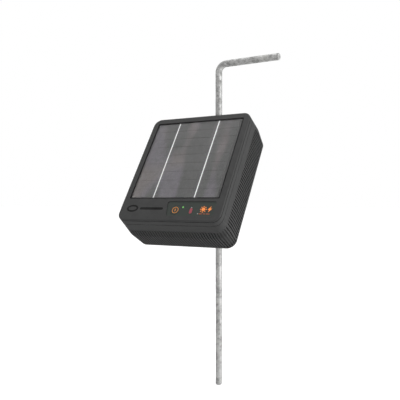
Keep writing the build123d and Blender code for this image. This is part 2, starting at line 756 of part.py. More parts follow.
# ---- leads inside the case ----
def lead(points):
    """A round lead through bench points given as x, y and depth, with every corner rounded."""
    line = [Vector(x, y, -depth) for x, y, depth in points]
    bends = []
    for before, here, after in zip(line, line[1:], line[2:]):
        turn = math.radians((here - before).get_angle(after - here))
        run = min((here - before).length, (after - here).length)
        bends.append(0.45 * run / math.tan(turn / 2))
    path = FilletPolyline(*line, radius=bends)
    return sweep(Plane(path @ 0, z_dir=path % 0) * Circle(lead_radius), path=path)


def leads():
    """Leads from the panel, the battery and the two terminals to the board."""
    plug_top = board_back + solder_gap + plug_size[2] + lead_end_gap
    earth_pad_top = board_back + solder_gap + earth_pad_size[2] + lead_end_gap
    fence_x, earth_x = terminals["fence"], terminals["earth"]
    panel = [(0, lead_slot_y, tub_depth + lead_end_gap), (0, lead_slot_y, 12)]
    panel += [(-6, 50, protection_board_near - 9.8), (-20, 22, protection_board_near - 4.8)]
    panel += [(-33, -6, 27), (*panel_plug, 27), (*panel_plug, plug_top)]
    battery = [(20, 32, protection_board_near - lead_end_gap), (20, 31.5, protection_board_near - 4.5)]
    battery += [(24, 20, 21.5), (29, 4, 22), (30, -12, 24), (*battery_plug, 26), (*battery_plug, plug_top)]
    fence = [(fence_x, terminal_y, stud_near - lead_end_gap), (fence_x, terminal_y, stud_near - 3.8)]
    fence += [(-12, -52, 40), (*fence_pad, 33), (*fence_pad, board_back + lead_end_gap)]
    earth = [(earth_x, terminal_y, stud_near - lead_end_gap), (earth_x, terminal_y, stud_near - 6)]
    earth += [(36, -56, 34), (*earth_pad, 28), (*earth_pad, earth_pad_top)]
    return {
        "panel_lead": lead(panel),
        "battery_lead": lead(battery),
        "fence_lead": lead(fence),
        "earth_lead": lead(earth),
    }


# ---- bracket and clamp, in the row frame ----
def side_profile(front_depth, rear_y, top, bottom):
    """The bracket's wedge in side view, between a depth behind the front face and an upright rear."""
    corners = [
        (rear_plane_y(top, front_depth), top),
        (rear_y, top),
        (rear_y, bottom),
        (rear_plane_y(bottom, front_depth), bottom),
    ]
    return Plane.YZ * make_face(Polyline(*corners, close=True))


def clamp_round(radius, start, end):
    """A cylinder on the clamp screw's axis, which runs along X."""
    return Pos((start + end) / 2, 0, clamp_height) * Rot(0, 90, 0) * Cylinder(radius, end - start)


def stake_bracket():
    """Wedge that holds the case on the stake, or on a post by its two ears."""
    flange = slab(flange_width, flange_height, flange_corner_radius, case_depth, flange_rear, 0, flange_y)
    wedge = side_profile(case_depth + 0.5, bracket_rear, bracket_top, bracket_bottom)
    body = house(flange) + extrude(wedge, amount=bracket_width / 2, both=True)
    pocket_back, pocket_top = bracket_rear - ear_thickness, bracket_top - bracket_wall
    pocket = side_profile(flange_rear, pocket_back, pocket_top, bracket_bottom - 1)
    body -= extrude(pocket, amount=bracket_width / 2 - bracket_wall, both=True)
    ear_low, ear_high = bracket_bottom + ear_margin, bracket_top - ear_margin
    ears = Rot(90, 0, 0) * RectangleRounded(2 * ear_half_width, ear_high - ear_low, ear_corner_radius)
    body += Pos(0, bracket_rear, (ear_low + ear_high) / 2) * extrude(ears, amount=ear_thickness)
    body += upright(tube_bore_radius + tube_wall, bracket_bottom, bracket_top)
    body += clamp_round(clamp_boss_radius, 0, clamp_boss_end)
    body -= upright(tube_bore_radius, bracket_bottom - 1, bracket_top + 1)
    insert_start = clamp_boss_end - insert_length
    body -= clamp_round(pad_radius + pad_clearance, 0, insert_start)
    body -= clamp_round(insert_radius + insert_clearance, insert_start, clamp_boss_end + 1)
    for x in (-ear_hole_x, ear_hole_x):
        for z in (clamp_height - ear_hole_dz, clamp_height + ear_hole_dz):
            body -= Pos(x, bracket_rear, z) * Rot(90, 0, 0) * Cylinder(ear_hole_radius, 4 * ear_thickness)
    for x, y in flange_screws:
        hole = disc(bracket_screw_radius + screw_pass_clearance, case_depth - 1, flange_rear + 1, x, y)
        body -= house(hole)
    return body


def bracket_screws():
    """Four screws that hold the bracket on the shell, one of them with the earth strap under its head."""
    sizes = (bracket_screw_radius, bracket_screw_length, bracket_screw_head_radius, bracket_screw_head)
    plain = [place for place in flange_screws if place != strap_screw]
    screws = rear_screws(plain, flange_rear, *sizes)
    return Compound(screws + rear_screws([strap_screw], flange_rear + strap_thickness, *sizes))


def stake_bush():
    """Split brass bush that slides on the stake and turns in the bracket."""
    low = bracket_bottom - bush_end_clearance
    high = bracket_top + bush_end_clearance + circlip_thickness + circlip_land
    flange_radius = bush_radius + bush_flange_width
    bush = upright(bush_radius, low, high) + upright(flange_radius, low - bush_flange_thickness, low)
    groove_low = bracket_top + bush_end_clearance
    groove = upright(bush_radius + 1, groove_low, groove_low + circlip_thickness)
    bush -= groove - upright(bush_radius - circlip_bite, groove_low - 1, groove_low + circlip_thickness + 1)
    bush -= upright(stake_radius + bush_stake_clearance, 0, stake_height)
    slot = Box(bush_slot_width, 3 * bush_radius, stake_height, align=(Align.CENTER, Align.MIN, Align.MIN))
    return bush - slot


def bush_circlip():
    """Spring ring that keeps the bracket on its bush."""
    low = bracket_top + bush_end_clearance + circlip_clearance
    high = low + circlip_thickness - 2 * circlip_clearance
    inner = bush_radius - circlip_bite + circlip_clearance
    outer = inner + circlip_width
    clip = upright(outer, low, high) - upright(inner, low - 1, high + 1)
    return clip - Pos(0, outer, 0) * Box(5, 1.9 * outer, 3 * stake_height)


def clamp_insert():
    """Threaded brass insert in the bracket's boss."""
    start = clamp_boss_end - insert_length + 0.05
    body = clamp_round(insert_radius, start, clamp_boss_end)
    return body - clamp_round(clamp_screw_radius + 0.05, start - 1, clamp_boss_end + 1)


def clamp_pad():
    """Pressure pad at the screw's tip, hollowed to the bush's curve."""
    start = bush_radius + pad_gap
    pad = clamp_round(pad_radius, 0, start + pad_thickness)
    return pad - upright(start, 0, stake_height)


def clamp_screw():
    """Screw that presses the pad."""
    start = bush_radius + pad_gap + pad_thickness + 0.05
    end = clamp_boss_end + knob_gap + knob_thickness * knob_bore_share
    rod = clamp_round(clamp_screw_radius, start, end)
    return chamfer(rod.faces().sort_by(Axis.X)[0].edges(), 0.6)


def clamp_knob():
    """Six-lobed hand knob moulded on the screw."""
    start = clamp_boss_end + knob_gap
    end = start + knob_thickness
    knob = clamp_round(knob_radius, start, end)
    knob = fillet(knob.faces().sort_by(Axis.X)[-1].edges(), 2.4)
    for n in range(knob_lobes):
        angle = 2 * math.pi * (n + 0.5) / knob_lobes
        reach = knob_radius + knob_scallop_radius * 0.35
        y, z = reach * math.cos(angle), reach * math.sin(angle)
        knob -= Pos(0, y, z) * clamp_round(knob_scallop_radius, start - 1, end + 1)
    return knob - clamp_round(clamp_screw_radius, start - 1, start + knob_thickness * knob_bore_share)


def ground_stake():
    """Round bar bent over at the top into a handle."""
    corner = [(0, 0, 0), (0, 0, stake_height), (handle_reach, 0, stake_height)]
    path = FilletPolyline(*corner, radius=stake_bend_radius)
    bar = sweep(Plane.XY * Circle(stake_radius), path=path)
    for axis, pick in ((Axis.Z, 0), (Axis.X, -1)):
        bar = chamfer(bar.faces().sort_by(axis)[pick].edges(), stake_end_chamfer)
    low, high = depth_ring_height - depth_ring_width / 2, depth_ring_height + depth_ring_width / 2
    groove = upright(stake_radius + 1, low, high)
    return bar - (groove - upright(stake_radius - depth_ring_depth, low - 1, high + 1))


def pieces():
    """Every node of the assembly by name, in the row frame."""
    bench = {
        "front_cover": front_cover(),
        **panel_pieces(),
        "control_label": control_label(),
        "nameplate": Compound(badge_shapes(0, 0.05, badge_depth)),
        "power_button": power_button(),
        "switch_plunger": switch_plunger(),
        "switch_body": switch_body(),
        **light_pipes(),
        "main_board": main_board(),
        "board_screws": board_screws(),
        **transformer(),
        "storage_capacitor": storage_capacitor(),
        "board_components": board_components(),
        "case_seal": case_seal(),
        "rear_shell": rear_shell(),
        "case_screws": case_screws(),
        **battery_pieces(),
        **leads(),
        "terminal_nuts": terminal_nuts(),
        "vent_plug": vent_plug(),
        "earth_strap": earth_strap(),
        "bracket_screws": bracket_screws(),
    }
    for name, x in terminals.items():
        bench[f"{name}_stud"] = stud(x)
        bench[f"{name}_terminal_base"] = terminal_base(x)
        bench[f"{name}_washer"] = terminal_washer(x)
        bench[f"{name}_knob"] = terminal_knob(x)
    made = {name: house(piece) for name, piece in bench.items()}
    made["stake_bracket"] = stake_bracket()
    made["stake_bush"] = stake_bush()
    made["bush_circlip"] = bush_circlip()
    made["clamp_insert"] = clamp_insert()
    made["clamp_pad"] = clamp_pad()
    made["clamp_screw"] = clamp_screw()
    made["clamp_knob"] = clamp_knob()
    made["ground_stake"] = ground_stake()
    return made


os.makedirs("parts", exist_ok=True)
for node, shape in pieces().items():
    export_step(shape, f"parts/{node}.step")
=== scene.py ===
"""The looks of a solar fence energizer that hangs on a galvanised ground stake.

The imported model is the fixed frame. Every carried-over node gets a finish, the stake is modelled again with
its zinc skin, and the prints, marks and sealant that the frame doesn't hold are added.
"""

import json
import logging
import math
from dataclasses import dataclass, field
from enum import Enum
from typing import Callable, Sequence

import bmesh
import bpy
from mathutils import Euler, Matrix, Vector, noise


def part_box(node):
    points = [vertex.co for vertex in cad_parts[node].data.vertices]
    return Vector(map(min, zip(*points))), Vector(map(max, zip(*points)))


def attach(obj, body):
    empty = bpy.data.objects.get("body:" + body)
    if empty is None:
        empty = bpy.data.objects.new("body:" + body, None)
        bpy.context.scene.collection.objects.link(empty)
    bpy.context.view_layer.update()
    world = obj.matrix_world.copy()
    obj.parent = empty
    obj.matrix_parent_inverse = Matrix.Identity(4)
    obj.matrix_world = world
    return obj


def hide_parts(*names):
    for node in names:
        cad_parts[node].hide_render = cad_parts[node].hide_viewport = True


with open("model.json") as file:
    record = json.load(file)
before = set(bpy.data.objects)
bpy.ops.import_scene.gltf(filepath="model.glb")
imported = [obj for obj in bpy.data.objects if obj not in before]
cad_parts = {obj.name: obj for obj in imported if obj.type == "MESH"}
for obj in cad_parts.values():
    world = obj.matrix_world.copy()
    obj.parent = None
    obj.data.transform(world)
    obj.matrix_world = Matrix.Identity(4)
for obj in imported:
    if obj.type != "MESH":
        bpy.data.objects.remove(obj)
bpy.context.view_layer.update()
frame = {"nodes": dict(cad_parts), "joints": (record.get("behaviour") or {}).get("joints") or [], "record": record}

MM = 0.001
log = logging.getLogger("energizer")

Tint = tuple[float, float, float]
Outline = tuple[tuple[float, float], ...]
Shape = bmesh.types.BMesh
Piece = bpy.types.Object
Node = bpy.types.Node
Plug = bpy.types.NodeSocket


# ---------------------------------------------------------------- the energizer's own frame
@dataclass(frozen=True)
class Bench:
    """The energizer's own frame: X to the right, Y up the panel and Z out of the front face.

    Attributes:
        lean: the panel's lean back from the vertical, in radians.
        face: the front face's centre, in the row frame.
        depth: the case's whole depth, in metres.
    """

    lean: float
    face: Vector
    depth: float

    @classmethod
    def from_frame(cls) -> "Bench":
        """Works the frame out from the key's travel and the case's own vertices.

        Returns:
            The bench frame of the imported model.
        """
        press = next(j for j in frame["joints"] if j["name"] == "power_button_press")
        inward = Vector(press["axis"]).normalized()
        lean = math.atan2(-inward.z, inward.y)
        up = Vector((0.0, math.sin(lean), math.cos(lean)))
        cover = [v.co for v in frame["nodes"]["front_cover"].data.vertices]
        shell = [v.co for v in frame["nodes"]["rear_shell"].data.vertices]
        front = min(co.dot(inward) for co in cover)
        heights = [co.dot(up) for co in cover if co.dot(inward) < front + 0.1 * MM]
        middle = up * (min(heights) + max(heights)) / 2
        depth = max(co.dot(inward) for co in shell) - front
        return cls(lean, middle + inward * front, depth)

    @property
    def turn(self) -> Euler:
        """The bench frame's turn in the row frame."""
        return Euler((math.pi / 2 - self.lean, 0.0, 0.0))

    @property
    def matrix(self) -> Matrix:
        """Carries a bench point to the row frame."""
        return Matrix.Translation(self.face) @ self.turn.to_matrix().to_4x4()

    def spot(self, node: str) -> Vector:
        """Finds the centre of a node in the bench frame.

        Args:
            node: the CAD node's name.

        Returns:
            The middle of the node's box, as a bench point.
        """
        low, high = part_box(node)
        return self.matrix.inverted() @ ((low + high) / 2)

    def reach(self, node: str) -> tuple[Vector, Vector]:
        """Measures a node along the bench axes.

        Args:
            node: the CAD node's name.

        Returns:
            The lowest and highest bench corners.
        """
        back = self.matrix.inverted()
        points = [back @ v.co for v in frame["nodes"][node].data.vertices]
        low = Vector([min(p[i] for p in points) for i in range(3)])
        return low, Vector([max(p[i] for p in points) for i in range(3)])


# ---------------------------------------------------------------- shader building
class Socket(Enum):
    """The kinds of socket that the shared groups use."""

    VALUE = "NodeSocketFloat"
    COLOUR = "NodeSocketColor"
    VECTOR = "NodeSocketVector"


class Sketch:
    """Draws nodes in one tree, and keeps the calls short."""

    def __init__(self, tree: bpy.types.NodeTree) -> None:
        """Starts on an empty or a new tree."""
        self.tree = tree

    def add(self, kind: str, settings: dict | None = None, **inputs: object) -> Node:
        """Adds a node and fills its inputs.

        Args:
            kind: the node's type without its ShaderNode prefix.
            settings: properties of the node itself, such as its operation.
            **inputs: values or output sockets by input name, with _ for a space, or a_0 for the input's number.

        Returns:
            The new node.
        """
        node = self.tree.nodes.new("ShaderNode" + kind)
        for key, value in (settings or {}).items():
            setattr(node, key, value)
        for key, value in inputs.items():
            socket = node.inputs[int(key[2:])] if key.startswith("a_") else node.inputs[key.replace("_", " ")]
            self.fill(socket, value)
        return node

    def fill(self, socket: Plug, value: object) -> None:
        """Links an output socket to an input, or sets the input's own value."""
        if isinstance(value, Plug):
            self.tree.links.new(value, socket)
        elif socket.type == "RGBA" and len(value) == 3:
            socket.default_value = (*value, 1.0)
        else:
            socket.default_value = value

    def maths(self, operation: str, *values: object) -> Plug:
        """Adds a Math node and returns its result."""
        inputs = {f"a_{n}": value for n, value in enumerate(values)}
        return self.add("Math", {"operation": operation}, **inputs).outputs[0]

    def blend(self, share: object, first: object, second: object, mode: str = "MIX") -> Plug:
        """Mixes two colours and returns the result."""
        node = self.add("Mix", {"data_type": "RGBA", "blend_type": mode})
        for place, value in (("Factor_Float", share), ("A_Color", first), ("B_Color", second)):
            self.fill(next(s for s in node.inputs if s.identifier == place), value)
        return next(s for s in node.outputs if s.identifier == "Result_Color")

    def ramp(self, value: object, low: float, high: float, to: tuple[float, float] = (0.0, 1.0)) -> object:
        """Maps a stretch of values to another, held within it, and returns the result."""
        inputs = {"Value": value, "From_Min": low, "From_Max": high, "To_Min": to[0], "To_Max": to[1]}
        return self.add("MapRange", {"clamp": True}, **inputs).outputs[0]

    def group(self, tree: bpy.types.NodeTree, **inputs: object) -> Node:
        """Places a shared group and fills its inputs."""
        return self.add("Group", {"node_tree": tree}, **inputs)


def shared_group(
    name: str,
    takes: Sequence[tuple[str, Socket, float]],
    gives: Sequence[tuple[str, Socket]],
    draw: Callable[[Sketch, dict[str, Plug]], dict[str, object]],
) -> bpy.types.NodeTree:
    """Builds a node group once.

    Args:
        name: the group's name.
        takes: name, kind and default of each input.
        gives: name and kind of each output.
        draw: draws the nodes from the inputs, and returns the sockets for the outputs.

    Returns:
        The group.
    """
    tree = bpy.data.node_groups.new(name, "ShaderNodeTree")
    for title, kind, default in takes:
        socket = tree.interface.new_socket(title, in_out="INPUT", socket_type=kind.value)
        if kind is Socket.VALUE:
            socket.default_value = default
    for title, kind in gives:
        tree.interface.new_socket(title, in_out="OUTPUT", socket_type=kind.value)
    sketch = Sketch(tree)
    inlet = tree.nodes.new("NodeGroupInput")
    outlet = tree.nodes.new("NodeGroupOutput")
    results = draw(sketch, {socket.name: socket for socket in inlet.outputs if socket.name})
    for title, socket in results.items():
        tree.links.new(socket, outlet.inputs[title])
    return tree


class Effects:
    """The effects that several finishes share, each built once."""

    def __init__(self) -> None:
        """Builds every group."""
        place, value, colour = ("Place", Socket.VECTOR, 0.0), Socket.VALUE, Socket.COLOUR
        mask = [("Mask", value)]
        self.grain = shared_group(
            "mould_grain",
            [place, ("Scale", value, 1400.0), ("Patch", value, 30.0)],
            [("Height", value), ("Tone", value)],
            self._draw_grain,
        )
        self.wear = shared_group(
            "edge_wear", [place, ("Radius", value, 0.0006), ("Scale", value, 160.0)], mask, self._draw_wear
        )
        self.dust = shared_group("settled_dust", [place, ("Scale", value, 60.0)], mask, self._draw_dust)
        self.spangle = shared_group(
            "zinc_spangle",
            [place, ("Scale", value, 150.0), ("Light", colour, 0.0), ("Dark", colour, 0.0)],
            [("Colour", colour), ("Height", value), ("Mask", value)],
            self._draw_spangle,
        )
        self.scratches = shared_group(
            "fine_scratches", [place, ("Scale", value, 400.0)], mask, self._draw_scratches
        )

    @staticmethod
    def _draw_grain(s: Sketch, given: dict) -> dict:
        """Spark-eroded grain, with slow patches of tone."""
        fine = s.add("TexNoise", Vector=given["Place"], Scale=given["Scale"], Detail=3.0, Roughness=0.6)
        cells = s.add("TexVoronoi", {"feature": "SMOOTH_F1"}, Vector=given["Place"], Scale=given["Scale"])
        height = s.maths("ADD", fine.outputs[0], s.maths("MULTIPLY", cells.outputs[0], 0.6))
        slow = s.add("TexNoise", Vector=given["Place"], Scale=given["Patch"], Detail=4.0, Roughness=0.55)
        return {"Height": height, "Tone": s.ramp(slow.outputs[0], 0.3, 0.7)}

    @staticmethod
    def _draw_wear(s: Sketch, given: dict) -> dict:
        """A broken mask along sharp edges."""
        bevel = s.add("Bevel", {"samples": 4}, Radius=given["Radius"])
        true = s.add("NewGeometry").outputs["Normal"]
        dot = s.add("VectorMath", {"operation": "DOT_PRODUCT"}, a_0=bevel.outputs[0], a_1=true)
        edge = s.ramp(dot.outputs["Value"], 0.98, 0.8)
        breaks = s.add("TexNoise", Vector=given["Place"], Scale=given["Scale"], Detail=5.0, Roughness=0.7)
        return {"Mask": s.maths("MULTIPLY", edge, s.ramp(breaks.outputs[0], 0.42, 0.62))}

    @staticmethod
    def _draw_dust(s: Sketch, given: dict) -> dict:
        """Dust on what faces up, in soft patches."""
        facing = s.add("SeparateXYZ", Vector=s.add("NewGeometry").outputs["Normal"]).outputs["Z"]
        patches = s.add("TexNoise", Vector=given["Place"], Scale=given["Scale"], Detail=6.0, Roughness=0.65)
        cover = s.maths("MULTIPLY", s.ramp(facing, 0.1, 0.9), s.ramp(patches.outputs[0], 0.35, 0.75))
        return {"Mask": cover}

    @staticmethod
    def _draw_spangle(s: Sketch, given: dict) -> dict:
        """Zinc crystals, with dull blotches over them."""
        warp = s.add("TexNoise", Vector=given["Place"], Scale=90.0, Detail=3.0)
        place = s.add("VectorMath", {"operation": "MULTIPLY_ADD"}, a_0=warp.outputs["Color"])
        place.inputs[1].default_value = (0.006, 0.006, 0.006)
        s.fill(place.inputs[2], given["Place"])
        cells = s.add("TexVoronoi", Vector=place.outputs[0], Scale=given["Scale"], Randomness=1.0)
        crystal = s.add("SeparateColor", Color=cells.outputs["Color"]).outputs[0]
        blotch = s.add("TexNoise", Vector=given["Place"], Scale=150.0, Detail=7.0, Roughness=0.7)
        dull = s.ramp(blotch.outputs[0], 0.47, 0.62)
        share = s.maths("ADD", s.maths("MULTIPLY", crystal, 0.45), s.maths("MULTIPLY", dull, 0.75))
        speck = s.add("TexNoise", Vector=given["Place"], Scale=700.0, Detail=4.0, Roughness=0.7)
        share = s.maths("ADD", share, s.ramp(speck.outputs[0], 0.35, 0.7, (-0.12, 0.18)))
        share = s.ramp(share, 0.0, 1.0)
        height = s.maths("ADD", speck.outputs[0], s.maths("MULTIPLY", blotch.outputs[0], 1.5))
        return {"Colour": s.blend(share, given["Light"], given["Dark"]), "Height": height, "Mask": share}

    @staticmethod
    def _draw_scratches(s: Sketch, given: dict) -> dict:
        """Short hair scratches that run every way."""
        turned = s.add("Mapping", {"vector_type": "POINT"}, Vector=given["Place"])
        turned.inputs["Rotation"].default_value = (0.4, 0.9, 0.6)
        turned.inputs["Scale"].default_value = (1.0, 14.0, 1.0)
        lines = s.add("TexNoise", Vector=turned.outputs[0], Scale=given["Scale"], Detail=2.0)
        return {"Mask": s.ramp(lines.outputs[0], 0.62, 0.68)}


# ---------------------------------------------------------------- finishes
@dataclass(frozen=True)
class Finish:
    """What every finish has: a shader, a place to read and a few plain values.

    Attributes:
        tint: base colour, linear.
        rough: the surface's middle roughness.
        sheen: the specular level, 0.5 for common plastic.
    """

    tint: Tint
    rough: float
    sheen: float = field(default=0.5, kw_only=True)

    def make(self, name: str, effects: Effects, bench: Bench) -> bpy.types.Material:
        """Builds the material.

        Args:
            name: the material's name.
            effects: the shared node groups.
            bench: the energizer's own frame.

        Returns:
            The material.
        """
        material = bpy.data.materials.new(name)
        material.use_nodes = True
        tree = material.node_tree
        tree.nodes.clear()
        s = Sketch(tree)
        shader = s.add("BsdfPrincipled")
        output = s.add("OutputMaterial")
        tree.links.new(shader.outputs[0], output.inputs["Surface"])
        place = s.add("TexCoord").outputs["Object"]
        aligned = s.add("Mapping", {"vector_type": "TEXTURE"}, Vector=place)
        aligned.inputs["Location"].default_value = bench.face
        aligned.inputs["Rotation"].default_value = bench.turn
        shader.inputs["Specular IOR Level"].default_value = self.sheen
        self.paint(s, shader, aligned.outputs[0], effects)
        return material

    def paint(self, s: Sketch, shader: Node, place: Plug, effects: Effects) -> None:
        """Fills the shader; each finish has its own."""
        raise NotImplementedError

    def uneven(self, s: Sketch, tone: object, under: float, over: float) -> Plug:
        """Lets the roughness follow a tone, from a little under its middle value to a little over."""
        return s.ramp(tone, 0.0, 1.0, (self.rough - under, self.rough + over))

    @staticmethod
    def feed(s: Sketch, shader: Node, colour: object, rough: object, height: object, depth: float) -> None:
        """Feeds the shader its colour, its roughness and a bump whose depth is in metres."""
        s.fill(shader.inputs["Base Color"], colour)
        s.fill(shader.inputs["Roughness"], rough)
        bump = s.add("Bump", Height=height, Distance=depth, Strength=1.0)
        s.fill(shader.inputs["Normal"], bump.outputs[0])


@dataclass(frozen=True)
class Moulded(Finish):
    """Moulded plastic or rubber with a grain, faint tone patches, rubbed edges, a little dust and, where asked,
    painted shade in grooves and corners.

    Attributes:
        grain: the grain's frequency, per metre.
        depth: the grain's depth, in metres.
        rubbed: colour of the rubbed edges.
        wear: how strongly the edges are rubbed.
        dust: how much dust lies on top.
        spread: how far the tone varies, as a share.
        painted_groove_shade: how much darker the grooves and corners are painted; this is painted shade from an
            ambient occlusion mask, not dirt.
        painted_shade_reach: how far from a wall that painted shade reaches, in metres.
        dust_tint: colour of the dust.
    """

    grain: float = 1500.0
    depth: float = 0.00003
    rubbed: Tint = (0.13, 0.13, 0.13)
    wear: float = 0.3
    dust: float = 0.05
    spread: float = 0.1
    painted_groove_shade: float = 0.0
    painted_shade_reach: float = 2.5 * MM
    dust_tint: Tint = (0.4, 0.4, 0.39)

    def paint(self, s: Sketch, shader: Node, place: Plug, effects: Effects) -> None:
        """Layers tone, wear, painted shade in the hollows and dust over the base colour."""
        grain = s.group(effects.grain, Place=place, Scale=self.grain)
        wear = s.group(effects.wear, Place=place)
        dust = s.group(effects.dust, Place=place)
        dark = tuple(c * (1 - self.spread) for c in self.tint)
        light = tuple(min(1.0, c * (1 + self.spread)) for c in self.tint)
        colour = s.blend(grain.outputs["Tone"], dark, light)
        colour = s.blend(s.maths("MULTIPLY", wear.outputs[0], self.wear), colour, self.rubbed)
        if self.painted_groove_shade:
            # Painted shade: an ambient occlusion mask darkens the colour in grooves, recesses and corners.
            occlusion = s.add("AmbientOcclusion", {"samples": 8}, Distance=self.painted_shade_reach).outputs["AO"]
            shade = s.ramp(occlusion, 0.35, 0.85, (1.0 - self.painted_groove_shade, 1.0))
            colour = s.blend(1.0, colour, shade, "MULTIPLY")
        dusty = s.maths("MULTIPLY", dust.outputs[0], self.dust)
        colour = s.blend(dusty, colour, self.dust_tint)
        rough = self.uneven(s, grain.outputs["Tone"], 0.05, 0.05)
        rough = s.maths("ADD", rough, s.maths("MULTIPLY", dusty, 0.4))
        self.feed(s, shader, colour, rough, grain.outputs["Height"], self.depth)


@dataclass(frozen=True)
class Metal(Finish):
    """Bare or plated metal with turning or blasting marks, scratches and a dull film.

    Attributes:
        film: colour of the dull film.
        marks: frequency of the surface's marks, per metre.
        depth: the marks' depth, in metres.
    """

    film: Tint = (0.25, 0.24, 0.22)
    marks: float = 1200.0
    depth: float = 0.00002

    def paint(self, s: Sketch, shader: Node, place: Plug, effects: Effects) -> None:
        """Dulls and scratches the base metal."""
        grain = s.group(effects.grain, Place=place, Scale=self.marks, Patch=70.0)
        scratch = s.group(effects.scratches, Place=place)
        share = s.maths("MULTIPLY", grain.outputs["Tone"], 0.45)
        colour = s.blend(share, self.tint, self.film)
        bright = tuple(min(1.0, c * 1.25) for c in self.tint)
        hairs = s.maths("MULTIPLY", scratch.outputs[0], 0.5)
        rough = self.uneven(s, grain.outputs["Tone"], 0.08, 0.12)
        shader.inputs["Metallic"].default_value = 1.0
        self.feed(s, shader, s.blend(hairs, colour, bright), rough, grain.outputs["Height"], self.depth)


@dataclass(frozen=True)
class Zinc(Finish):
    """Hot-dip zinc: crystals and dull blotches on a lumpy skin.

    Attributes:
        dull: colour of the dull zinc.
        stain: colour of the faint warm stain.
        metal: how metallic the skin is.
        depth: the lumps' depth, in metres.
    """

    dull: Tint = (0.25, 0.25, 0.245)
    stain: Tint = (0.4, 0.4, 0.34)
    metal: float = 0.35
    depth: float = 0.00012

    def paint(self, s: Sketch, shader: Node, place: Plug, effects: Effects) -> None:
        """Lays the crystals, then a faint warm stain."""
        zinc = s.group(effects.spangle, Place=place, Light=self.tint, Dark=self.dull)
        patches = s.add("TexNoise", Vector=place, Scale=22.0, Detail=4.0, Roughness=0.6).outputs[0]
        warm = s.maths("MULTIPLY", s.ramp(patches, 0.54, 0.74), 0.3)
        colour = s.blend(warm, zinc.outputs["Colour"], self.stain)
        rough = self.uneven(s, zinc.outputs["Mask"], 0.08, 0.2)
        shader.inputs["Metallic"].default_value = self.metal
        self.feed(s, shader, colour, rough, zinc.outputs["Height"], self.depth)


@dataclass(frozen=True)
class Cell(Finish):
    """Crystalline solar cell: fine finger lines, crystal grain, and brown and violet patches that are a painted
    reflection of the surroundings in the cover glass.

    Attributes:
        warm: tint of the brown patches of painted reflection.
        cool: tint of the violet patches of painted reflection.
        slant: turn of the patches about the panel's normal, in degrees.
        stretch: the patches' frequency along the slant, as a share of that across it.
        patch: the patches' frequency across the slant, per metre.
        drift: frequency of the change from brown to violet, per metre.
        reflection_left_start, reflection_left_end: where the extra painted reflection on the left begins and is
        full, in metres.
        reflection_left_lift: how much the painted reflection grows there.
        crystal: the wafer's crystals, per metre.
        finger_pitch: spacing of the finger lines, in metres.
        finger_width: width of a finger line, in metres.
        fingers: how plainly the finger lines show.
        silver: colour of the finger lines.
    """

    warm: Tint = (0.275, 0.245, 0.238)
    cool: Tint = (0.245, 0.23, 0.258)
    slant: float = 52.0
    stretch: float = 0.3
    patch: float = 24.0
    drift: float = 11.0
    reflection_left_start: float = -0.022
    reflection_left_end: float = -0.06
    reflection_left_lift: float = 0.16
    crystal: float = 240.0
    finger_pitch: float = 0.002
    finger_width: float = 0.00014
    fingers: float = 0.3
    silver: Tint = (0.4, 0.4, 0.4)

    def paint(self, s: Sketch, shader: Node, place: Plug, effects: Effects) -> None:
        """Draws the fingers across the wafer, under patches of painted reflection."""
        slanted = s.add("Mapping", {"vector_type": "POINT"}, Vector=place)
        slanted.inputs["Rotation"].default_value = (0.0, 0.0, math.radians(self.slant))
        slanted.inputs["Scale"].default_value = (1.0, self.stretch, 1.0)
        # Painted reflection: slanted, stretched brown and violet patches, stronger towards the left, stand in for
        # the surroundings mirrored in the cover glass.
        reflection_clouds = s.add("TexNoise", Vector=slanted.outputs[0], Scale=self.patch, Detail=1.0, Roughness=0.5)
        across = s.add("SeparateXYZ", Vector=place).outputs["X"]
        left = s.ramp(across, self.reflection_left_start, self.reflection_left_end, (0.0, self.reflection_left_lift))
        painted_reflection_share = s.ramp(s.maths("ADD", reflection_clouds.outputs[0], left), 0.5, 0.6)
        drift = s.add("TexNoise", Vector=place, Scale=self.drift, Detail=1.0).outputs[0]
        reflection_tint = s.blend(s.ramp(drift, 0.46, 0.56), self.warm, self.cool)
        colour = s.blend(painted_reflection_share, self.tint, reflection_tint)
        crystal = s.add("TexVoronoi", Vector=place, Scale=self.crystal)
        shade = s.add("SeparateColor", Color=crystal.outputs["Color"]).outputs[0]
        grey = s.blend(shade, (0.9, 0.9, 0.9), (1.1, 1.1, 1.1))
        colour = s.blend(1.0, colour, grey, "MULTIPLY")
        along = s.add("SeparateXYZ", Vector=place).outputs["Y"]
        swing = s.maths("PINGPONG", along, self.finger_pitch / 2)
        finger = s.maths("LESS_THAN", swing, self.finger_width / 2)
        shown = s.maths("MULTIPLY", finger, self.fingers)
        colour = s.blend(shown, colour, self.silver)
        self.feed(s, shader, colour, self.uneven(s, shade, 0.06, 0.06), finger, 0.00002)


@dataclass(frozen=True)
class Glazing(Finish):
    """Clear cover glass or a clear light guide, faintly smeared.

    Attributes:
        index: index of refraction.
        glow: colour that the guide shines with, or None.
        glow_strength: how strongly it shines.
    """

    index: float = 1.45
    glow: Tint | None = None
    glow_strength: float = 0.0

    def paint(self, s: Sketch, shader: Node, place: Plug, effects: Effects) -> None:
        """Smears the roughness and tints the body."""
        smear = s.add("TexNoise", Vector=place, Scale=18.0, Detail=5.0, Roughness=0.6)
        tone = s.ramp(smear.outputs[0], 0.4, 0.7)
        dim = tuple(c * 0.94 for c in self.tint)
        s.fill(shader.inputs["Base Color"], s.blend(tone, self.tint, dim))
        s.fill(shader.inputs["Roughness"], self.uneven(s, tone, 0.0, 0.06))
        shader.inputs["Transmission Weight"].default_value = 1.0 if self.glow is None else 0.0
        shader.inputs["IOR"].default_value = self.index
        if self.glow is not None:
            shader.inputs["Emission Color"].default_value = (*self.glow, 1.0)
            shader.inputs["Emission Strength"].default_value = self.glow_strength


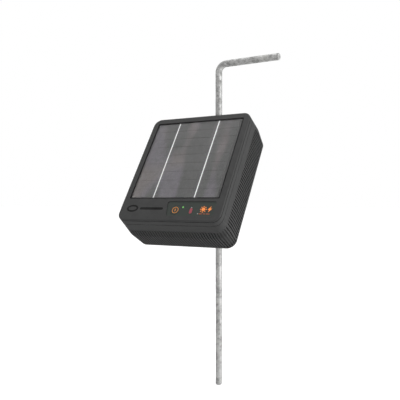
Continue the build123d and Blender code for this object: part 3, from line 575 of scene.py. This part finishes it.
@dataclass(frozen=True)
class Banded(Finish):
    """Wound tape, sleeving or a traced board: bands of a second colour along one bench axis.

    Attributes:
        second: the bands' colour.
        pitch: spacing of the bands, in metres.
        width: width of a band, in metres.
        axis: the bench axis that the bands step along.
        depth: how far the bands stand out, in metres.
        gloss: the coat over it all.
    """

    second: Tint = (0.3, 0.3, 0.3)
    pitch: float = 0.001
    width: float = 0.0005
    axis: str = "Y"
    depth: float = 0.0001
    gloss: float = 0.2

    def paint(self, s: Sketch, shader: Node, place: Plug, effects: Effects) -> None:
        """Steps the bands, a little uneven, over the base."""
        waver = s.add("TexNoise", Vector=place, Scale=300.0, Detail=2.0).outputs[0]
        along = s.add("SeparateXYZ", Vector=place).outputs[self.axis]
        along = s.maths("ADD", along, s.maths("MULTIPLY", waver, self.pitch * 0.3))
        swing = s.maths("PINGPONG", along, self.pitch / 2)
        band = s.ramp(swing, self.width * 0.6, self.width * 0.4)
        grain = s.group(effects.grain, Place=place, Scale=2000.0)
        colour = s.blend(band, self.tint, self.second)
        shade = s.blend(grain.outputs["Tone"], (0.86, 0.86, 0.86), (1.0, 1.0, 1.0))
        rough = self.uneven(s, grain.outputs["Tone"], 0.05, 0.08)
        shader.inputs["Coat Weight"].default_value = self.gloss
        self.feed(s, shader, s.blend(1.0, colour, shade, "MULTIPLY"), rough, band, self.depth)


@dataclass(frozen=True)
class Ink(Finish):
    """Screen-printed ink or tinned ribbon: slightly uneven, with a soft gloss and an optional painted glow.

    Attributes:
        painted_glow: emission strength that makes it look brighter; a painted glow that stands in for light the
            print or ribbon reflects, not a lamp.
    """

    painted_glow: float = 0.0

    def paint(self, s: Sketch, shader: Node, place: Plug, effects: Effects) -> None:
        """Varies the ink's thickness, and adds the painted glow as emission."""
        grain = s.group(effects.grain, Place=place, Scale=2600.0, Patch=220.0)
        thin = tuple(c * 0.8 for c in self.tint)
        tone = grain.outputs["Tone"]
        # Painted glow: emission in the ink's own colour brightens the print or ribbon as if it were lit, though it
        # is no lamp.
        shader.inputs["Emission Color"].default_value = (*self.tint, 1.0)
        shader.inputs["Emission Strength"].default_value = self.painted_glow
        rough = self.uneven(s, tone, 0.05, 0.05)
        self.feed(s, shader, s.blend(tone, thin, self.tint), rough, grain.outputs["Height"], 0.00001)


CHARCOAL: Tint = (0.029, 0.0292, 0.0292)
BLACK: Tint = (0.012, 0.012, 0.0125)
STEEL: Tint = (0.6, 0.6, 0.59)

FINISHES: dict[str, Finish] = {
    # The case's grooves and corners are darkened with painted shade.
    "case": Moulded(CHARCOAL, 0.6, sheen=0.35, wear=0.5, painted_groove_shade=0.75),
    "seal": Moulded((0.006, 0.006, 0.006), 0.75, wear=0.0, dust=0.0, sheen=0.15),
    "panel_glass": Glazing((0.96, 0.96, 0.96), 0.03),
    # The ribbon carries a painted glow through emission.
    "ribbon": Ink((0.86, 0.86, 0.86), 0.4, painted_glow=0.42),
    "solar_cell": Cell((0.15, 0.149, 0.148), 0.4),
    "panel_backing": Cell((0.112, 0.112, 0.112), 0.45, fingers=0.0),
    "label": Moulded((0.03, 0.037, 0.032), 0.42, grain=2600.0, depth=0.000012, wear=0.1, dust=0.0, sheen=0.3),
    "nameplate": Moulded((0.008, 0.008, 0.008), 0.5, grain=2200.0, wear=0.0, dust=0.0, spread=0.8, sheen=0.15),
    "button": Moulded((0.032, 0.039, 0.034), 0.5, grain=2400.0, depth=0.00001, wear=0.1, dust=0.0, sheen=0.3),
    "switch_plunger": Moulded((0.5, 0.47, 0.4), 0.5, wear=0.0),
    "switch_case": Moulded(BLACK, 0.5, wear=0.0),
    "green_light": Glazing((0.13, 0.4, 0.11), 0.3, glow=(0.16, 0.5, 0.1), glow_strength=0.4),
    "red_light": Glazing((0.25, 0.045, 0.06), 0.35, glow=(0.4, 0.06, 0.08), glow_strength=0.12),
    "board": Banded((0.012, 0.11, 0.04), 0.35, second=(0.03, 0.2, 0.08), pitch=0.0021, width=0.0008, gloss=0.5),
    "screw": Metal((0.62, 0.62, 0.58), 0.34, film=(0.42, 0.4, 0.32)),
    "ferrite": Moulded((0.035, 0.035, 0.04), 0.55, wear=0.5, rubbed=(0.12, 0.12, 0.13)),
    "winding": Banded((0.42, 0.2, 0.03), 0.4, second=(0.5, 0.28, 0.06), pitch=0.0009, width=0.0005, axis="Z"),
    "capacitor": Moulded((0.5, 0.36, 0.07), 0.3, depth=0.000015, wear=0.1),
    "component": Moulded(BLACK, 0.42, depth=0.00002, wear=0.15),
    "tray": Moulded(BLACK, 0.6),
    "battery_sleeve": Banded(
        (0.02, 0.12, 0.3), 0.28, second=(0.02, 0.1, 0.26), pitch=0.004, width=0.001, gloss=0.6
    ),
    "black_lead": Moulded(BLACK, 0.45, wear=0.0, dust=0.0),
    "red_lead": Moulded((0.42, 0.015, 0.012), 0.42, wear=0.0, dust=0.0),
    "green_lead": Moulded((0.02, 0.2, 0.05), 0.42, wear=0.0, dust=0.0),
    "stud": Metal((0.78, 0.62, 0.34), 0.28, film=(0.5, 0.38, 0.2)),
    "vent": Moulded(BLACK, 0.55),
    "strap": Metal(STEEL, 0.3),
    "terminal_base": Moulded(BLACK, 0.45),
    "washer": Metal(STEEL, 0.26),
    "fence_knob": Moulded((0.45, 0.018, 0.012), 0.38, rubbed=(0.6, 0.2, 0.17), dust=0.06),
    "earth_knob": Moulded((0.015, 0.17, 0.045), 0.38, rubbed=(0.2, 0.42, 0.24), dust=0.06),
    "bracket": Metal((0.34, 0.34, 0.34), 0.5, film=(0.2, 0.2, 0.2), marks=1600.0, depth=0.00005),
    "bush": Metal((0.72, 0.53, 0.24), 0.3, film=(0.42, 0.29, 0.13)),
    "circlip": Metal((0.3, 0.29, 0.28), 0.34),
    "clamp_knob": Moulded(BLACK, 0.48, wear=0.4),
    "galvanised": Zinc((0.5, 0.5, 0.495), 0.5),
    # The orange, amber and rust inks carry a painted glow through emission.
    "orange_ink": Ink((0.85, 0.24, 0.045), 0.42, painted_glow=0.35),
    "amber_ink": Ink((0.62, 0.22, 0.03), 0.42, painted_glow=0.1),
    "rust_ink": Ink((0.42, 0.09, 0.03), 0.42, painted_glow=0.12),
    "grey_ink": Ink((0.36, 0.37, 0.37), 0.45),
    "white_ink": Ink((0.62, 0.62, 0.6), 0.45),
}


class Finisher:
    """Makes each finish once, and puts it on a piece."""

    def __init__(self, bench: Bench) -> None:
        """Keeps the frame, and builds the shared effects."""
        self.bench = bench
        self.effects = Effects()
        self.made: dict[str, bpy.types.Material] = {}

    def material(self, name: str) -> bpy.types.Material:
        """Builds or finds the material of a finish."""
        if name not in self.made:
            self.made[name] = FINISHES[name].make(name, self.effects, self.bench)
        return self.made[name]

    def dress(self, piece: Piece, name: str) -> None:
        """Gives a piece one finish all over."""
        piece.data.materials.clear()
        piece.data.materials.append(self.material(name))

    def dress_frame(self) -> None:
        """Gives every carried-over node the finish of its material slot."""
        for part in frame["record"]["subparts"]:
            self.dress(frame["nodes"][part["node"]], part["material_slot"])


# ---------------------------------------------------------------- modelling helpers
def finish_mesh(bm: Shape, name: str, place: Matrix | None = None, smooth: float = 30.0) -> Piece:
    """Turns a finished bmesh into an object at the origin.

    Args:
        bm: the shape, freed afterwards.
        name: the piece's name.
        place: carries the shape to its place in the row frame.
        smooth: faces that meet at less than this angle are shaded smooth, in degrees.

    Returns:
        The new object.
    """
    bmesh.ops.remove_doubles(bm, verts=bm.verts, dist=1e-7)
    bmesh.ops.recalc_face_normals(bm, faces=bm.faces)
    if place is not None:
        bmesh.ops.transform(bm, matrix=place, verts=bm.verts)
    limit = math.radians(smooth)
    for face in bm.faces:
        face.smooth = True
    for edge in bm.edges:
        edge.smooth = len(edge.link_faces) == 2 and edge.calc_face_angle(0.0) < limit
    mesh = bpy.data.meshes.new(name)
    bm.to_mesh(mesh)
    bm.free()
    piece = bpy.data.objects.new(name, mesh)
    bpy.context.scene.collection.objects.link(piece)
    return piece


def add_ring(bm: Shape, radius: float, width: float, height: float, centre: Vector, steps: int = 48) -> None:
    """Spins a flat ring about Z.

    Args:
        bm: takes the new faces.
        radius: middle radius of the ring.
        width: the ring's width.
        height: its thickness, from the centre up.
        centre: middle of the ring's underside.
        steps: segments round it.
    """
    corners = [(-1, 0), (1, 0), (1, 1), (-1, 1)]
    points = [centre + Vector((radius + side * width / 2, 0.0, level * height)) for side, level in corners]
    verts = [bm.verts.new(point) for point in points]
    edges = [bm.edges.new((verts[n], verts[(n + 1) % 4])) for n in range(4)]
    bmesh.ops.spin(
        bm, geom=verts + edges, cent=centre, axis=(0, 0, 1), angle=2 * math.pi, steps=steps, use_merge=True
    )


def add_bar(bm: Shape, size: Vector, centre: Vector, turn: float = 0.0, round_off: float = 0.3) -> None:
    """Adds a flat bar with rounded upright corners.

    Args:
        bm: takes the new faces.
        size: width, length and thickness.
        centre: middle of its underside.
        turn: turn about Z, in radians.
        round_off: corner radius, as a share of the width.
    """
    made = bmesh.ops.create_cube(bm, size=1.0)["verts"]
    lift = Matrix.Translation((0, 0, 0.5))
    scale = Matrix.Diagonal((size.x, size.y, size.z, 1.0))
    place = Matrix.Translation(centre) @ Matrix.Rotation(turn, 4, "Z") @ scale @ lift
    bmesh.ops.transform(bm, matrix=place, verts=made)
    edges = {edge for vert in made for edge in vert.link_edges}
    upright = [edge for edge in edges if abs((edge.verts[0].co - edge.verts[1].co).z) > size.z / 2]
    bmesh.ops.bevel(
        bm, geom=upright, offset=size.x * round_off, segments=4, profile=0.5, affect="EDGES", material=-1
    )


def add_plate(bm: Shape, outline: Outline, thickness: float, centre: Vector) -> None:
    """Adds a flat plate of any outline.

    Args:
        bm: takes the new faces.
        outline: its corners about the centre, in order, in millimetres.
        thickness: its height above the centre.
        centre: the outline's origin, on the underside.
    """
    verts = [bm.verts.new(centre + Vector((x * MM, y * MM, 0.0))) for x, y in outline]
    face = bm.faces.new(verts)
    raised = bmesh.ops.extrude_face_region(bm, geom=[face], use_keep_orig=True)["geom"]
    tops = [v for v in raised if isinstance(v, bmesh.types.BMVert)]
    bmesh.ops.translate(bm, vec=(0, 0, thickness), verts=tops)


# ---------------------------------------------------------------- the stake
@dataclass
class Stake:
    """The bent galvanised bar, with the small lumps that the zinc bath leaves.

    Attributes:
        sides: facets round the bar.
        step: length of one stretch of skin, in metres.
        bend: the bend's centreline radius.
        ring_width, ring_depth: the turned depth mark.
        ring_height: the mark's height above the tip.
        chamfer: blunt edge at each end.
        lump: how deep the skin's hollows are.
        broad, fine: frequency of the broad and the fine lumps, per metre.
        radius, top, reach: the bar's radius, its handle's centreline height and the handle's end.
    """

    sides: int = 40
    step: float = 2.5 * MM
    bend: float = 12.5 * MM
    ring_width: float = 1.2 * MM
    ring_depth: float = 0.3 * MM
    ring_height: float = 150 * MM
    chamfer: float = 1.2 * MM
    lump: float = 0.16 * MM
    broad: float = 90.0
    fine: float = 320.0
    radius: float = field(init=False)
    top: float = field(init=False)
    reach: float = field(init=False)

    def __post_init__(self) -> None:
        """Reads the bar's sizes from its CAD node."""
        low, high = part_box("ground_stake")
        self.radius = (high.y - low.y) / 2
        self.top = high.z - self.radius
        self.reach = high.x

    def _pull(self, bm: Shape, edges: list, move: Vector, scale: float = 1.0) -> list:
        """Extrudes the open rim, moves it and scales it about its own middle.

        Args:
            bm: the bar so far.
            edges: the open rim's edges.
            move: the rim's move.
            scale: the rim's new size, as a share.

        Returns:
            The new rim's edges.
        """
        made = bmesh.ops.extrude_edge_only(bm, edges=edges)["geom"]
        verts = [g for g in made if isinstance(g, bmesh.types.BMVert)]
        middle = sum((v.co for v in verts), Vector()) / len(verts)
        about = Matrix.Translation(middle + move) @ Matrix.Scale(scale, 4) @ Matrix.Translation(-middle)
        bmesh.ops.transform(bm, matrix=about, verts=verts)
        return [g for g in made if isinstance(g, bmesh.types.BMEdge) and len(g.link_faces) == 1]

    def _run(self, bm: Shape, edges: list, way: Vector, length: float) -> list:
        """Extrudes the rim along a straight run in even steps."""
        count = max(1, round(length / self.step))
        for _ in range(count):
            edges = self._pull(bm, edges, way * (length / count))
        return edges

    def _skin(self, bm: Shape) -> None:
        """Sinks the skin a little, unevenly, and never raises it."""
        bmesh.ops.recalc_face_normals(bm, faces=bm.faces)
        for vert in bm.verts:
            broad, fine = noise.noise(vert.co * self.broad), noise.noise(vert.co * self.fine)
            share = min(1.0, max(0.0, 0.5 + 0.7 * broad + 0.4 * fine))
            vert.co -= vert.normal * self.lump * share

    def build(self, finisher: Finisher) -> Piece:
        """Models the bar from its tip to the end of its handle.

        Args:
            finisher: dresses the piece.

        Returns:
            The stake.
        """
        bm = bmesh.new()
        up, along = Vector((0, 0, 1)), Vector((1, 0, 0))
        blunt = (self.radius - self.chamfer) / self.radius
        bmesh.ops.create_circle(bm, segments=self.sides, radius=self.radius * blunt, cap_ends=True)
        rim = self._pull(bm, list(bm.edges), up * self.chamfer, 1 / blunt)
        half, narrow = self.ring_width / 2, (self.radius - self.ring_depth) / self.radius
        rim = self._run(bm, rim, up, self.ring_height - half - self.chamfer)
        rim = self._pull(bm, rim, up * 0, narrow)
        rim = self._pull(bm, rim, up * self.ring_width)
        rim = self._pull(bm, rim, up * 0, 1 / narrow)
        rim = self._run(bm, rim, up, self.top - self.bend - self.ring_height - half)
        turned = bmesh.ops.spin(
            bm, geom=rim, cent=(self.bend, 0, self.top - self.bend), axis=(0, 1, 0), angle=math.pi / 2, steps=10
        )["geom_last"]
        rim = [g for g in turned if isinstance(g, bmesh.types.BMEdge)]
        rim = self._run(bm, rim, along, self.reach - self.bend - self.chamfer)
        rim = self._pull(bm, rim, along * self.chamfer, blunt)
        bmesh.ops.contextual_create(bm, geom=rim)
        self._skin(bm)
        piece = finish_mesh(bm, "galvanised_stake", smooth=40.0)
        finisher.dress(piece, "galvanised")
        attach(piece, "stake")
        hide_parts("ground_stake")
        log.info("stake: %d faces", len(piece.data.polygons))
        return piece


# ---------------------------------------------------------------- the panel's sealant
@dataclass
class GlassBead:
    """The dark sealant bead that holds the cover glass in its window.

    Attributes:
        width: how far the bead laps over the glass.
        height: its height above the glass.
        slack: its gap to the window's wall.
        corner: outer corner radius.
    """

    width: float = 1.3 * MM
    height: float = 0.3 * MM
    slack: float = 0.02 * MM
    corner: float = 1.4 * MM

    def build(self, finisher: Finisher) -> Piece:
        """Insets a rounded rectangle into a frame and raises it.

        Args:
            finisher: dresses the piece, and holds the bench frame.

        Returns:
            The bead.
        """
        low, high = finisher.bench.reach("panel_glass")
        middle = (low + high) / 2
        bm = bmesh.new()
        bmesh.ops.create_grid(bm, x_segments=1, y_segments=1, size=0.5)
        size = Vector((high.x - low.x + 2 * self.slack, high.y - low.y + 2 * self.slack, 1.0))
        place = Matrix.Translation((middle.x, middle.y, high.z)) @ Matrix.Diagonal((*size, 1.0))
        bmesh.ops.transform(bm, matrix=place, verts=bm.verts)
        bmesh.ops.bevel(
            bm, geom=list(bm.verts), offset=self.corner, segments=6, profile=0.5, affect="VERTICES", material=-1
        )
        bmesh.ops.inset_region(
            bm, faces=list(bm.faces), thickness=self.width, depth=0.0, use_boundary=True, use_even_offset=True
        )
        inner = [f for f in bm.faces if len(f.verts) > 4]
        bmesh.ops.delete(bm, geom=inner, context="FACES")
        raised = bmesh.ops.extrude_face_region(bm, geom=list(bm.faces), use_keep_orig=True)["geom"]
        crown = [g for g in raised if isinstance(g, bmesh.types.BMVert)]
        bmesh.ops.translate(bm, vec=(0, 0, self.height), verts=crown)
        top = high.z + self.height
        level = [e for e in bm.edges if all(abs(v.co.z - top) < 1e-6 for v in e.verts)]
        crest = [e for e in level if self._is_rim(e)]
        bmesh.ops.bevel(
            bm, geom=crest, offset=self.height * 0.7, segments=4, profile=0.5, affect="EDGES", material=-1
        )
        piece = finish_mesh(bm, "glass_sealant", finisher.bench.matrix, smooth=60.0)
        finisher.dress(piece, "seal")
        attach(piece, "housing")
        log.info("sealant bead: %d faces", len(piece.data.polygons))
        return piece

    @staticmethod
    def _is_rim(edge: bmesh.types.BMEdge) -> bool:
        """Tells whether an edge lies where a flat top meets an upright side."""
        return len(edge.link_faces) == 2 and edge.calc_face_angle(0.0) > 1.0


# ---------------------------------------------------------------- the prints
@dataclass
class Prints:
    """The raised prints on the control strip, the key and the rear wall.

    Attributes:
        film: thickness of the print.
        line: width of the key's bar.
        sink: how far a print is let into the surface under it.
        key_radius, key_bar: middle radius of the key's ring, and length of its bar.
        sun_inset, sun_lift: the sun's place from the strip's right edge and above the red light.
        rays, ray_reach: number of the sun's rays, and how far out they stand.
        bolt_inset: the bolt's place from the strip's right edge.
        bolt: the bolt's corners, in millimetres.
        dashes: lengths of the dashes under the sun, in millimetres.
        dash_inset, dash_pitch: the first dash's place from the right edge, and their spacing, in millimetres.
        rear_drop: how far the rear marks lie below the terminals.
        rear_bolt: corners of the bolt by the fence terminal, in millimetres.
        earth_bars, earth_pitch: lengths of the earth sign's bars and their spacing, in millimetres.
        earth_line: width of the earth sign's lines.
    """

    film: float = 0.12 * MM
    line: float = 1.0 * MM
    sink: float = 0.02 * MM
    key_radius: float = 4.2 * MM
    key_bar: float = 4.0 * MM
    sun_inset: float = 16.2 * MM
    sun_lift: float = 2.4 * MM
    rays: int = 8
    ray_reach: float = 3.9
    bolt_inset: float = 7.2 * MM
    bolt: Outline = ((1.4, 4.4), (-3.0, -0.7), (-0.3, -0.7), (-1.6, -4.4), (3.0, 1.0), (0.4, 1.0))
    dashes: tuple[float, ...] = (4.4, 3.0, 5.2)
    dash_inset: float = 18.6
    dash_pitch: float = 5.2
    rear_drop: float = 14.5 * MM
    rear_bolt: Outline = ((0.7, 4.6), (-2.3, -0.6), (-0.2, -0.6), (-1.0, -4.6), (2.3, 0.9), (0.2, 0.9))
    earth_bars: tuple[float, ...] = (7.0, 4.6, 2.2)
    earth_pitch: float = 1.6
    earth_line: float = 0.9 * MM

    def _put(self, bm: Shape, name: str, ink: str, body: str, finisher: Finisher) -> None:
        """Finishes one print and hangs it on its body."""
        piece = finish_mesh(bm, name, finisher.bench.matrix, smooth=30.0)
        finisher.dress(piece, ink)
        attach(piece, body)
        log.info("print %s: %d faces", name, len(piece.data.polygons))

    def power_mark(self, finisher: Finisher) -> None:
        """Ring and upright bar on the key."""
        bench = finisher.bench
        spot, top = bench.spot("power_button"), bench.reach("power_button")[1].z
        centre = Vector((spot.x, spot.y, top - self.sink))
        bm = bmesh.new()
        add_ring(bm, self.key_radius, self.line * 0.75, self.film, centre)
        add_bar(bm, Vector((self.line, self.key_bar, self.film)), centre)
        self._put(bm, "power_mark", "amber_ink", "power_button", finisher)

    def strip_marks(self, finisher: Finisher) -> None:
        """Sun and bolt in orange at the strip's right, a dashed line below, and the grey nub and dot."""
        bench = finisher.bench
        low, high = bench.reach("control_label")
        light = bench.spot("battery_light_pipe")
        half = bench.reach("battery_light_pipe")[1].y - light.y
        surface = high.z - self.sink
        sun = Vector((high.x - self.sun_inset, light.y + self.sun_lift, surface))
        bm = bmesh.new()
        add_ring(bm, 1.4 * MM, 1.9 * MM, self.film, sun, 32)
        for n in range(self.rays):
            angle = 2 * math.pi * n / self.rays
            ray = sun + Vector((math.cos(angle), math.sin(angle), 0.0)) * self.ray_reach * MM
            add_bar(bm, Vector((1.1 * MM, 1.5 * MM, self.film)), ray, angle + math.pi / 2)
        add_plate(bm, self.bolt, self.film, Vector((high.x - self.bolt_inset, sun.y, surface)))
        self._put(bm, "strip_mark", "orange_ink", "housing", finisher)
        bm = bmesh.new()
        for n, width in enumerate(self.dashes):
            dash = Vector((high.x - (self.dash_inset - self.dash_pitch * n) * MM, light.y - 4.3 * MM, surface))
            add_bar(bm, Vector((width * MM, 0.8 * MM, self.film)), dash, round_off=0.05)
        self._put(bm, "strip_line", "rust_ink", "housing", finisher)
        bm = bmesh.new()
        nub = Vector((light.x, light.y + half + 0.9 * MM, surface))
        add_bar(bm, Vector((1.9 * MM, 1.1 * MM, self.film)), nub)
        dot = Vector((high.x - 22.4 * MM, light.y - 4.1 * MM, surface))
        add_bar(bm, Vector((1.2 * MM, 1.2 * MM, self.film)), dot)
        self._put(bm, "strip_nub", "grey_ink", "housing", finisher)

    def terminal_marks(self, finisher: Finisher) -> None:
        """A bolt by the fence terminal and the usual earth sign by the earth terminal, on the rear wall."""
        bench = finisher.bench
        flip = Matrix.Rotation(math.pi, 4, "Y")
        surface = bench.depth - self.sink
        bm = bmesh.new()
        fence, earth = bench.spot("fence_washer"), bench.spot("earth_washer")
        first = Vector((-fence.x, fence.y - self.rear_drop, surface))
        add_plate(bm, self.rear_bolt, self.film, first)
        second = Vector((-earth.x, earth.y - self.rear_drop, surface))
        add_bar(bm, Vector((self.earth_line, 4.0 * MM, self.film)), second + Vector((0, 2.2 * MM, 0)))
        for n, width in enumerate(self.earth_bars):
            level = second + Vector((0, -self.earth_pitch * MM * n, 0))
            add_bar(bm, Vector((self.earth_line, width * MM, self.film)), level, math.pi / 2)
        bmesh.ops.transform(bm, matrix=flip, verts=bm.verts)
        self._put(bm, "terminal_marks", "white_ink", "housing", finisher)

    def build(self, finisher: Finisher) -> None:
        """Makes every print."""
        self.power_mark(finisher)
        self.strip_marks(finisher)
        self.terminal_marks(finisher)


# ---------------------------------------------------------------- the studio
@dataclass
class Softbox:
    """One soft area light.

    Attributes:
        name: the light's name.
        at: its place.
        size: its side, in metres.
        power: its power, in watts.
    """

    name: str
    at: tuple[float, float, float]
    size: float
    power: float

    def hang(self, target: Vector) -> None:
        """Hangs the light, facing the target."""
        data = bpy.data.lights.new(self.name, "AREA")
        data.size, data.energy = self.size, self.power
        light = bpy.data.objects.new(self.name, data)
        light.location = self.at
        light.rotation_euler = (target - Vector(self.at)).to_track_quat("-Z", "Y").to_euler()
        bpy.context.scene.collection.objects.link(light)


@dataclass
class Studio:
    """Plain pale floor, white surround, soft lights and the camera.

    Attributes:
        floor_size: side of the floor, in metres.
        floor_tint: its colour.
        floor_glow: how far the floor is lifted towards the surround's white.
        surround: brightness of the white surround.
        ambient: how brightly the surround lights the object.
        eye: the camera's place.
        heading: the camera's turn about Z, in degrees.
        lens: focal length for a 36 mm sensor, in millimetres.
        lights: the soft lights.
    """

    floor_size: float = 30.0
    floor_tint: Tint = (0.8, 0.8, 0.8)
    floor_glow: float = 0.62
    surround: float = 1.0
    ambient: float = 0.62
    eye: tuple[float, float, float] = (0.3866, -0.7292, 0.2726)
    heading: float = 29.87
    lens: float = 50.12
    lights: tuple[Softbox, ...] = (
        Softbox("key", (1.7, -0.3, 0.9), 1.0, 16.0),
        Softbox("rim", (1.5, 0.3, 0.25), 0.5, 4.5),
        Softbox("low", (1.2, -0.25, 0.06), 0.3, 3.0),
        Softbox("fill", (-1.5, -1.2, 1.0), 1.6, 5.0),
        Softbox("top", (0.0, 0.1, 2.0), 1.4, 14.0),
    )

    def _floor(self) -> None:
        """Lays the floor just under the stake's tip."""
        bm = bmesh.new()
        bmesh.ops.create_grid(bm, x_segments=1, y_segments=1, size=self.floor_size / 2)
        bmesh.ops.translate(bm, vec=(0, 0, -0.0005), verts=bm.verts)
        floor = finish_mesh(bm, "floor")
        material = bpy.data.materials.new("floor")
        material.use_nodes = True
        shader = material.node_tree.nodes["Principled BSDF"]
        shader.inputs["Base Color"].default_value = (*self.floor_tint, 1.0)
        shader.inputs["Roughness"].default_value = 0.9
        shader.inputs["Emission Color"].default_value = (1.0, 1.0, 1.0, 1.0)
        s = Sketch(material.node_tree)
        seen = s.add("LightPath").outputs["Is Camera Ray"]
        s.fill(shader.inputs["Emission Strength"], s.maths("MULTIPLY", seen, self.floor_glow))
        floor.data.materials.append(material)

    def _surround(self) -> None:
        """Sets the white surround."""
        world = bpy.data.worlds.new("surround")
        world.use_nodes = True
        back = world.node_tree.nodes["Background"]
        back.inputs["Color"].default_value = (1.0, 1.0, 1.0, 1.0)
        s = Sketch(world.node_tree)
        seen = s.add("LightPath").outputs["Is Camera Ray"]
        s.fill(back.inputs["Strength"], s.ramp(seen, 0.0, 1.0, (self.ambient, self.surround)))
        bpy.context.scene.world = world

    def _camera(self) -> None:
        """Sets the camera."""
        data = bpy.data.cameras.new("camera")
        data.sensor_width, data.lens = 36.0, self.lens
        data.clip_start = 0.01
        camera = bpy.data.objects.new("camera", data)
        camera.location = self.eye
        camera.rotation_euler = (math.pi / 2, 0.0, math.radians(self.heading))
        bpy.context.scene.collection.objects.link(camera)
        bpy.context.scene.camera = camera

    def build(self) -> None:
        """Sets the whole stage."""
        self._camera()
        self._floor()
        self._surround()
        low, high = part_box("front_cover")
        for softbox in self.lights:
            softbox.hang((low + high) / 2)
        bpy.context.scene.view_settings.view_transform = "Standard"
        log.info("studio set with %d lights", len(self.lights))


def main() -> None:
    """Builds the stage, dresses the frame and adds the new pieces."""
    logging.basicConfig(level=logging.INFO, format="%(name)s: %(message)s")
    bench = Bench.from_frame()
    log.info("panel leans %.2f degrees", math.degrees(bench.lean))
    Studio().build()
    finisher = Finisher(bench)
    finisher.dress_frame()
    Stake().build(finisher)
    GlassBead().build(finisher)
    Prints().build(finisher)


if __name__ == "__main__":
    main()
